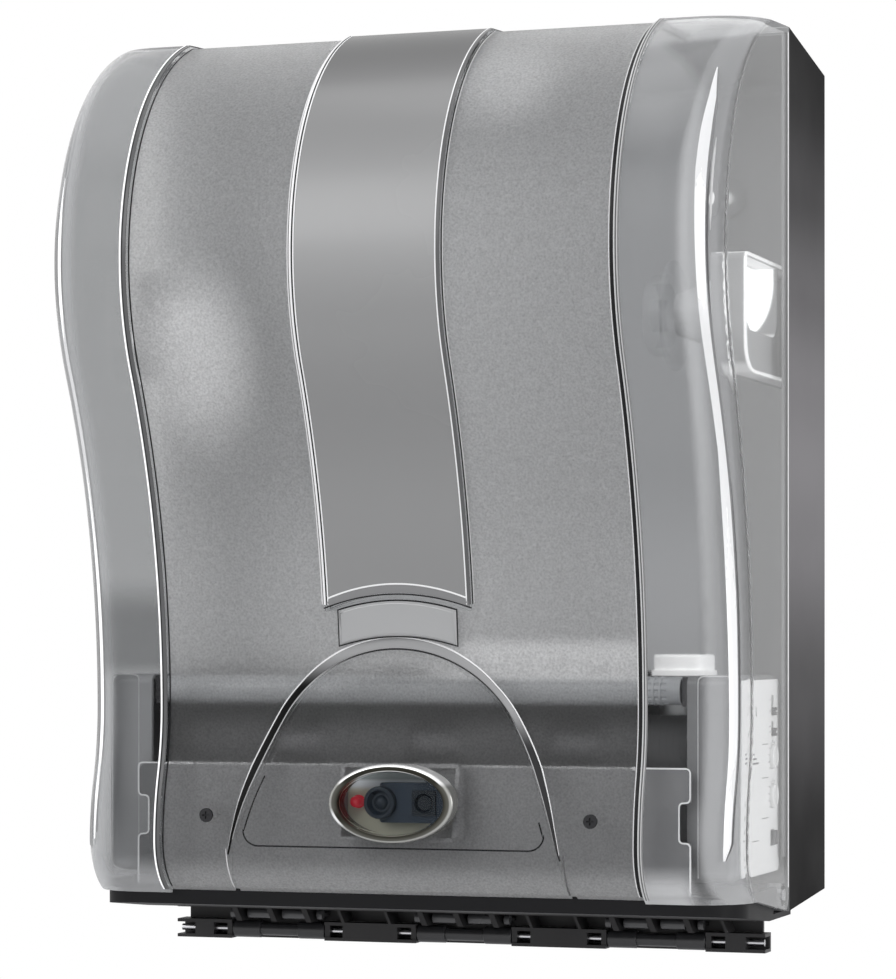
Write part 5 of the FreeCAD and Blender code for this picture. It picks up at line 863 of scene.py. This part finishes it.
upright_ribbon("dome_foot_left", -0.0779, -0.0774, STEP, SKIN_FOOT, pale, top_z=-0.166)
upright_ribbon("dome_foot_right", 0.0749, 0.0755, STEP, SKIN_FOOT, slate, top_z=-0.164)

# %% [markdown]
# The long white painted highlight runs down the right-hand corner, where the skin rolls into the
# side. Its place round the corner and its width change slowly with height, with a thin dark line of
# painted shade beside it and a short pale highlight further round, higher up. The left corner is
# seen edge-on and carries painted lines: two grey ones of shade, a white highlight and a fine grey
# one.

# %% Corner highlights
CORNER_R = 0.025
CORNER_X = 0.125
TURNS = [
    (-0.172, 46.0, 0.3), (-0.160, 51.0, 4.5), (-0.120, 53.0, 5.0), (-0.060, 52.5, 5.8),
    (-0.018, 51.5, 5.2), (0.0, 51.0, 4.2), (0.034, 47.5, 4.4), (0.060, 46.0, 5.0),
    (0.085, 45.0, 5.4), (0.119, 43.8, 6.0), (0.136, 44.5, 5.6), (0.153, 45.5, 3.8),
    (0.168, 42.5, 0.3)]


def between(rows, height):
    """Values at a height, from rows of (height, values) with straight runs between them."""
    height = min(max(height, rows[0][0]), rows[-1][0])
    for (z0, *low), (z1, *high) in zip(rows, rows[1:]):
        if z0 <= height <= z1:
            share = (height - z0) / (z1 - z0)
            return [a + (b - a) * share for a, b in zip(low, high)]


def corner_point(side, point, outward, turn):
    hub = point - outward * CORNER_R
    across, out = math.sin(turn), math.cos(turn)
    spot = (side * (CORNER_X + CORNER_R * across), hub.x + CORNER_R * out * outward.x,
            hub.y + CORNER_R * out * outward.y)
    return Vector(spot), Vector((side * across, out * outward.x, out * outward.y))


def corner_ribbon(name, side, rows, paint, shift=0.0, share=1.0):
    """Ribbon down a corner: rows give the height, the angle round it and half the width."""
    places = []
    for point, outward in skin_path(rows[-1][0], rows[0][0]):
        middle, wide = between(rows, point.y)
        middle, half = middle + shift * wide, wide * share
        (left, _), (_, out), (right, _) = [
            corner_point(side, point, outward, math.radians(turn))
            for turn in (middle - half, middle, middle + half)]
        places.append((left, right, out))
    ribbon(name, places, HIGH_LIFT, paint)


def rim_rows(turn):
    return [(-0.172, turn, 0.5), (-0.150, turn, 4.2), (0.120, turn, 4.2), (0.150, turn, 2.0),
            (0.168, turn, 0.5)]


# Painted highlight down the right corner, with a thin painted shade line beside it.
corner_ribbon("corner_highlight", 1, TURNS, glint)
corner_ribbon("corner_shadow", 1, TURNS, slate, 1.5, 0.22)
# Painted lines: a short pale highlight on the right; grey shade lines and a white highlight left.
for name, side, paint, rows in (
        ("corner_second_line", 1, pale,
         [(0.092, 57.0, 0.2), (0.10, 57.0, 1.3), (0.128, 57.0, 1.3), (0.136, 57.0, 0.2)]),
        ("left_corner_rim", -1, grey, rim_rows(61.5)),
        ("left_corner_rim_inner", -1, grey, rim_rows(51.8)),
        ("left_corner_white", -1, far_glint,
         [(-0.165, 43.0, 0.4), (-0.140, 43.0, 3.4), (0.100, 43.0, 3.4), (0.130, 44.0, 0.3)]),
        ("left_corner_inner", -1, grey,
         [(-0.160, 37.5, 0.3), (-0.130, 37.5, 0.9), (0.100, 37.5, 0.9), (0.130, 38.0, 0.2)])):
    corner_ribbon(name, side, rows, paint)

# %% [markdown]
# The dome's path lies in the plane of the front: a round crown, two wide shoulders and straight
# feet, each point dropped onto the skin at its own height. Its edge is a band of painted shade that
# widens towards the crown, grey there and dark lower down, with a painted highlight as a bright
# line outside and a thin painted edge inside, dark at the crown and pale lower down.

# %% Edge lines around the dome
CROWN_R = 0.060
CROWN_Z = -0.1396
CROWN_END = 30.0
SIDE_R = 0.199
SIDE_END = 12.4
FOOT_X = 0.0802
FOOT_STEPS = 8
DOME_SHIFT = Vector((-0.0015, 0.0))
DOME_DEPTH = STEP - 0.0002
# Height, and the band's width there in millimetres.
BAND = [
    (-0.190, 0.5), (-0.170, 0.9), (-0.156, 1.8), (-0.146, 2.8), (-0.131, 3.9), (-0.111, 3.7),
    (-0.097, 3.7), (-0.087, 4.8), (-0.0796, 6.0), (-0.070, 6.0)]


def dome_side(steps=26):
    """Right half of the dome, from its top to its foot: (X, Z) points and outward directions."""
    hub = Vector((0.0, CROWN_Z))
    crown = arc(hub, CROWN_R, 90.0, CROWN_END, steps)
    shoulder = arc(hub + (CROWN_R - SIDE_R) * crown[-1][1], SIDE_R, CROWN_END, SIDE_END, steps)
    last, spoke = shoulder[-1]
    run = Vector((FOOT_X, SKIN_FOOT)) - last
    foot = [(last + run * (i / FOOT_STEPS), spoke) for i in range(1, FOOT_STEPS + 1)]
    return crown + shoulder[1:] + foot


def dome_ribbon(name, near, far, paint, foot_z):
    """Ribbon round the dome between two shares of the band's width, 0 inside and 1 outside."""
    half = [(p, n) for p, n in dome_side() if p.y >= foot_z]
    whole = [(Vector((-p.x, p.y)), Vector((-n.x, n.y))) for p, n in reversed(half[1:])] + half
    places = []
    for point, away in whole:
        wide = between(BAND, point.y)[0] / 1000.0
        (left, out), (right, _) = [
            on_skin(*(point + DOME_SHIFT + away * wide * share), DOME_DEPTH)
            for share in (near, far)]
        places.append((left, right, out))
    ribbon(name, places, HIGH_LIFT, paint)


def sided_finish(name, left, crown, right):
    """A painted light-and-shade finish whose tone differs on the left, at the crown and on the
    right of the dome.
    """
    def tone(tree, _):
        x, _, z = axes(tree)
        on_right = ease(x, -0.012, 0.012)
        below = tone_mix(on_right, ease(z, -0.080, -0.096), ease(z, -0.104, -0.122))
        return tone_mix(below, crown, tone_mix(on_right, left, right))
    return finish(name, (0.2, 0.2, 0.2), (0.35, 0.45), tone=tone, IOR=1.15, **THIN)


# Painted shade in the band; painted light and shade in the inner edge.
band_painted_shade = sided_finish("dome band painted shade", (0.006, 0.006, 0.006), (0.36, 0.36, 0.362),
                         (0.035, 0.035, 0.036))
inner_edge_painted_tone = sided_finish("dome inner edge painted light and shade", (0.55, 0.55, 0.552), (0.040, 0.040, 0.041),
                         (0.50, 0.50, 0.502))
dome_ribbon("dome_outer_glint", 0.86, 1.0, glint, -0.168)
dome_ribbon("dome_band", 0.14, 0.84, band_painted_shade, -0.170)
dome_ribbon("dome_inner_edge", 0.0, 0.12, inner_edge_painted_tone, -0.164)

# %% [markdown]
# Geometry Nodes make the details that repeat or follow a path. The first tree turns a chain of
# edges into a round bead: a small circle is swept along the chain and the ends are capped.

# %% Bead tree
def geometry_tree(name, inputs):
    shape = {"Geometry": "Geometry"}
    return new_group(name, "GeometryNodeTree", {**shape, **inputs, "Paint": "Material"}, shape)


def close_tree(made, enter, leave, geometry):
    real = add_node(made, "GeometryNodeRealizeInstances", {"Geometry": geometry})
    coat = add_node(made, "GeometryNodeSetMaterial",
                    {"Geometry": real.outputs["Geometry"], "Material": enter["Paint"]})
    feed(leave, {"Geometry": coat.outputs["Geometry"]})


def bead_tree():
    made, enter, leave = geometry_tree("bead along a path", {"Radius": "Float", "Sides": "Int"})
    chain = add_node(made, "GeometryNodeMeshToCurve", {"Mesh": enter["Geometry"]})
    circle = add_node(made, "GeometryNodeCurvePrimitiveCircle",
                      {"Radius": enter["Radius"], "Resolution": enter["Sides"]})
    sweep = add_node(made, "GeometryNodeCurveToMesh",
                     {"Curve": chain.outputs["Curve"], "Profile Curve": circle.outputs["Curve"],
                      "Fill Caps": True})
    close_tree(made, enter, leave, sweep.outputs["Mesh"])
    return made


def grown(name, mesh, tree, paint, body, **values):
    """Run a tree on a mesh and keep the result as a plain piece."""
    seed = new_object(name + "_seed", mesh)
    modifier = seed.modifiers.new("grow", "NODES")
    modifier.node_group = tree
    values["Paint"] = paint
    for item in tree.interface.items_tree:
        if item.item_type == "SOCKET" and item.in_out == "INPUT" and item.name in values:
            modifier[item.identifier] = values[item.name]
    bpy.context.view_layer.update()
    ready = seed.evaluated_get(bpy.context.evaluated_depsgraph_get())
    plain = bpy.data.meshes.new_from_object(ready)
    plain.name = name
    seed.modifiers.remove(modifier)
    bpy.data.objects.remove(seed)
    add_piece(name, plain, paint, body)


BEAD = bead_tree()


def bead(name, points, radius, sides, paint, body="cover", closed=False):
    count = len(points)
    edges = [(i, (i + 1) % count) for i in range(count if closed else count - 1)]
    path = new_mesh(name + "_path", [tuple(p) for p in points], [], edges)
    grown(name, path, BEAD, paint, body, Radius=radius, Sides=sides)


print("tree", BEAD.name)

# %% [markdown]
# Inside the dome runs a thin dark line of painted shade with rounded corners: a little way down
# each side, then straight across at the foot.

# %% Line inside the dome
INNER_Z = -0.1645
INNER_R = 0.007


def inner_half(inset, top_z):
    side = [p - n * inset for p, n in dome_side() if INNER_Z + INNER_R < p.y < top_z]
    hub = Vector((side[-1].x + 0.0004 - INNER_R, INNER_Z + INNER_R))
    corner = [p for p, _ in arc(hub, INNER_R, 0.0, -90.0, 8)]
    flat = [Vector((hub.x * (1.0 - i / 12), INNER_Z)) for i in range(1, 13)]
    return side + corner + flat


inner_line = [Vector((-p.x, p.y)) for p in inner_half(0.0026, -0.132)][:-1]
inner_line += inner_half(0.0056, -0.150)[::-1]
# Painted shade line.
bead("dome_inner_line", [on_skin(*p, STEP)[0] for p in inner_line], 0.00035, 6, shade)

# %% [markdown]
# The lower end of the middle strip is bowed, and so is the badge: its rim runs along two arcs and
# two short uprights, with a satin frame inside. At the strip's end lie a painted highlight line, a
# band of painted shade and a thin painted shadow below it.

# %% Strip end and badge
BADGE_HALF, BADGE_TOP, BADGE_FOOT, BADGE_RISE = 0.0255, -0.0638, -0.0764, 0.0041
END_RISE = 0.006


def bow(half, z, rise, count=24):
    """X and Z along a line that rises to its middle."""
    found = []
    for i in range(count + 1):
        x = -half + 2.0 * half * i / count
        found.append((x, z + rise * (1.0 - (x / half) ** 2)))
    return found


def bowed_ribbon(name, half, z, wide, depth, paint):
    places = []
    for x, height in bow(half, z, END_RISE, 32):
        low, out = on_skin(x, height - wide, depth)
        places.append((low, on_skin(x, height, depth)[0], out))
    ribbon(name, places, LIFT, paint)


end_line = [on_skin(x, z, 0.0)[0] for x, z in bow(0.0312, -0.0572, END_RISE)]
# Painted highlight, band of painted shade and painted shadow at the strip's end.
bead("strip_end_glint", end_line, 0.0004, 8, glint)
bowed_ribbon("strip_end_band", 0.0322, -0.0577, 0.0034, 0.0, grey)
bowed_ribbon("strip_end_shadow", 0.0335, -0.0613, 0.0006, -0.0001, shade)


def badge_loop(grow, depth):
    """Outline of the badge, moved out by an amount: over the top, then back along the foot."""
    top = bow(BADGE_HALF + grow, BADGE_TOP + grow, BADGE_RISE)
    foot = bow(BADGE_HALF + grow, BADGE_FOOT - grow, BADGE_RISE)
    return [on_skin(x, z, depth)[0] for x, z in top + foot[::-1]]


out = Vector((0.0, -0.0001, 0.0))
sections = [[a - out * 12.0, a + out, (a + b) / 2.0 + out * 3.0, b + out, b - out * 6.0]
            for a, b in zip(badge_loop(0.0, -0.0012), badge_loop(0.0012, -0.0004))]
closed_strip("badge_frame", sections + sections[:1], badge_satin)
bead("badge_rim", badge_loop(0.0015, -0.0003), 0.00035, 8, shade, closed=True)

# %% [markdown]
# Moulded edges inside the cover catch the light as thin pale outlines: round both ends of the guide
# plate with its notches, along the end caps' front edges, and round the arms.

# %% Outlines inside the cover
PLATE_Y = -0.1601
PLATE_X, PLATE_TOP, PLATE_FOOT = 0.126, -0.1296, -0.1838
NOTCH_X, NOTCH_TOP, NOTCH_FOOT = 0.1211, -0.144, -0.161
PLATE_END = [
    (0.100, PLATE_TOP), (PLATE_X, PLATE_TOP), (PLATE_X, NOTCH_TOP), (NOTCH_X, NOTCH_TOP),
    (NOTCH_X, NOTCH_FOOT), (PLATE_X, NOTCH_FOOT), (PLATE_X, PLATE_FOOT), (0.110, PLATE_FOOT)]
CAP_Y, CAP_TOP, CAP_X = -0.1528, -0.0906, 0.1425
CAP_ENDS = [("left", -1, [(0.1290, -0.176), (0.1290, CAP_TOP), (CAP_X, CAP_TOP),
                          (CAP_X, -0.176), (0.136, -0.1779)]),
            ("right", 1, [(0.1275, -0.176), (0.1275, CAP_TOP), (CAP_X, CAP_TOP),
                          (CAP_X, -0.105)])]
ARM_X = 0.1411
ARM_EDGE = [(-0.030, 0.0406), (-0.1314, 0.0406), (-0.1314, 0.0904), (-0.030, 0.0904)]
SIDES = (("left", -1), ("right", 1))


def rounded_path(corners, radius, steps=5):
    """Flat polyline with every inner corner rounded."""
    path = [Vector(corners[0])]
    for before, corner, after in zip(corners, corners[1:], corners[2:]):
        here = Vector(corner)
        start = here + (Vector(before) - here).normalized() * radius
        end = here + (Vector(after) - here).normalized() * radius
        for i in range(steps + 1):
            t = i / steps
            path.append(start * (1 - t) ** 2 + here * 2 * t * (1 - t) + end * t ** 2)
    return path + [Vector(corners[-1])]


for name, side in SIDES:
    bead("plate_outline_" + name,
         [(side * p.x, PLATE_Y, p.y) for p in rounded_path(PLATE_END, 0.0022)],
         0.0004, 6, glint, "housing")
bead("plate_top_edge", [(-0.099 + 0.198 * i / 20, PLATE_Y, PLATE_TOP) for i in range(21)],
     0.00035, 6, pale, "housing")
for name, side, outline in CAP_ENDS:
    bead("cap_outline_" + name, [(side * p.x, CAP_Y, p.y) for p in rounded_path(outline, 0.003)],
         0.0003, 6, pale, "housing")
arm_path = rounded_path(ARM_EDGE[:3], 0.0178, 10)[:-1] + rounded_path(ARM_EDGE[1:], 0.003)[1:]
for name, side in SIDES:
    bead("arm_outline_" + name, [(side * ARM_X, p.x, p.y) for p in arm_path],
         0.0008, 6, far_glint, "arm_" + name)

# %% [markdown]
# The second tree copies one shape in a ring: a row of points at one spot, each copy turned a step
# further about X. It draws the ticks around both dials. The third copies one shape along X, for the
# grip ribs of the sleeves and the rings of the guide roller.

# %% Ring and row trees
def copies_tree(name, inputs, row_feeds, in_a_ring=False):
    """Copies of the incoming shape on a row of points, turned step by step if in a ring."""
    made, enter, leave = geometry_tree(name, inputs)
    row = add_node(made, "GeometryNodeMeshLine",
                   {socket: enter[label] for socket, label in row_feeds.items()})
    feeds = {"Points": row.outputs["Mesh"], "Instance": enter["Geometry"]}
    if in_a_ring:
        feed(row, {"Offset": (0.0, 0.0, 0.0)})
        number = add_node(made, "GeometryNodeInputIndex").outputs["Index"]
        turn = scaled(number, enter["Step"], enter["Start"])
        feeds["Rotation"] = add_node(made, "ShaderNodeCombineXYZ", {"X": turn}).outputs["Vector"]
    copies = add_node(made, "GeometryNodeInstanceOnPoints", feeds)
    close_tree(made, enter, leave, copies.outputs["Instances"])
    return made


RING = copies_tree("copies in a ring", {"Count": "Int", "Start": "Float", "Step": "Float",
                                        "Centre": "Vector"},
                   {"Count": "Count", "Start Location": "Centre"}, in_a_ring=True)
ROW = copies_tree("copies in a row", {"Count": "Int", "Start": "Vector", "Step": "Vector"},
                  {"Count": "Count", "Start Location": "Start", "Offset": "Step"})
print("trees", RING.name, "and", ROW.name)

# %% [markdown]
# Dial ticks are small raised bars with chamfered top edges, printed in dark grey on the white
# panel. Blank marks beside the switches and dials are bars of the same kind.

# %% Dial ticks and panel marks
PANEL_X = 0.14382
CONTROL_Y = -0.092
BAR_HIGH, BAR_CHAMFER = 0.00014, 0.00008
TICK = (-0.0002, 0.0002, 0.0062, 0.0074)
# Each mark is its start and end in Y, its height and half its thickness.
MARKS = [(-0.0975, -0.0955, z, 0.0002) for z in (-0.1064, -0.1014, -0.1154, -0.1129)]
MARKS += [(-0.1115, -0.1000, z, 0.00018) for z in (-0.1205, -0.1350, -0.1525)]
MARKS += [(-0.1320, -0.1260, -0.1243, 0.0004), (-0.1320, -0.1220, -0.1263, 0.0004),
          (-0.1320, -0.1180, -0.1283, 0.0004), (-0.1230, -0.1222, -0.1060, 0.0020),
          (-0.1290, -0.1180, -0.1616, 0.0002)]
ink = finish("panel print grey", (0.12, 0.12, 0.125), (0.5, 0.6), bump=0.02)


def bar_mesh(name, y0, y1, z0, z1):
    c = BAR_CHAMFER
    low = [(0.0, y0, z0), (0.0, y1, z0), (0.0, y1, z1), (0.0, y0, z1)]
    top = [(BAR_HIGH, y0 + c, z0 + c), (BAR_HIGH, y1 - c, z0 + c),
           (BAR_HIGH, y1 - c, z1 - c), (BAR_HIGH, y0 + c, z1 - c)]
    faces = [(3, 2, 1, 0), (4, 5, 6, 7)]
    faces += [(i, (i + 1) % 4, 4 + (i + 1) % 4, 4 + i) for i in range(4)]
    return new_mesh(name, low + top, faces)


def panel_marks(name):
    work = bmesh.new()
    for y0, y1, z, half in MARKS:
        bar = bar_mesh("mark", y0, y1, z - half, z + half)
        bar.transform(Matrix.Translation((PANEL_X, 0.0, 0.0)))
        work.from_mesh(bar)
    whole = bpy.data.meshes.new(name)
    work.to_mesh(whole)
    work.free()
    add_piece(name, whole, ink, "housing")


for name, z in (("length", -0.1263), ("delay", -0.1433)):
    grown(name + "_dial_ticks", bar_mesh("tick", *TICK), RING, ink, "housing", Count=11,
          Start=math.radians(-135.0), Step=math.radians(27.0), Centre=(PANEL_X, CONTROL_Y, z))
panel_marks("panel_marks")

# %% [markdown]
# The rubber sleeves have shallow grip ribs around them, and the guide roller has rings near its
# ends. One ring is a lathed band, and the row tree repeats it.

# %% Grip ribs
BAND_SIDES = 40
RIB_STEP = (0.003, 0.0, 0.0)
FIRST_RIB, SLEEVE_STEP = -0.1124, 0.064


def band_mesh(name, radius, wide, proud):
    profile = [(-wide, SUNK), (-wide * 0.7, proud), (wide * 0.7, proud), (wide, SUNK)]
    verts, faces = [], []
    for i in range(BAND_SIDES):
        turn = math.tau * i / BAND_SIDES
        k = (i + 1) % BAND_SIDES
        for j, (x, out) in enumerate(profile):
            m = (j + 1) % 4
            reach = radius + out
            verts.append((x, reach * math.cos(turn), reach * math.sin(turn)))
            faces.append((i * 4 + j, i * 4 + m, k * 4 + m, k * 4 + j))
    return new_mesh(name, verts, faces)


for number in range(4):
    sleeve = "sleeve_ribs_%d" % (number + 1)
    start = (FIRST_RIB + SLEEVE_STEP * number, -0.114, -0.122)
    grown(sleeve, band_mesh("rib", 0.014, 0.0006, 0.00012), ROW, rubber, "feed_drive",
          Count=12, Start=start, Step=RIB_STEP)
for name, x in (("left", -0.1095), ("right", 0.1035)):
    grown("guide_rings_" + name, band_mesh("guide_ring", 0.006, 0.0007, 0.0002), ROW, roller_grey,
          "guide", Count=3, Start=(x, -0.143, -0.097), Step=RIB_STEP)

# %% [markdown]
# Along both sides, the end face of the clear wall meets the dark housing and shines as a thin
# white line. A ribbon a millimetre wide stands for it.

# %% Bright rear edge of the cover
EDGE_FOOT, EDGE_TOP, EDGE_STEPS = -0.184, 0.192, 32
EDGE_X, EDGE_NEAR, EDGE_FAR = 0.15, -0.0817, -0.0806
heights = [EDGE_FOOT + i * (EDGE_TOP - EDGE_FOOT) / EDGE_STEPS for i in range(EDGE_STEPS + 1)]
for name, side in SIDES:
    x, out = side * EDGE_X, Vector((side, 0.0, 0.0))
    ribbon("rear_edge_" + name, [(Vector((x, EDGE_NEAR, z)), Vector((x, EDGE_FAR, z)), out)
                                 for z in heights], 0.00012, glint)
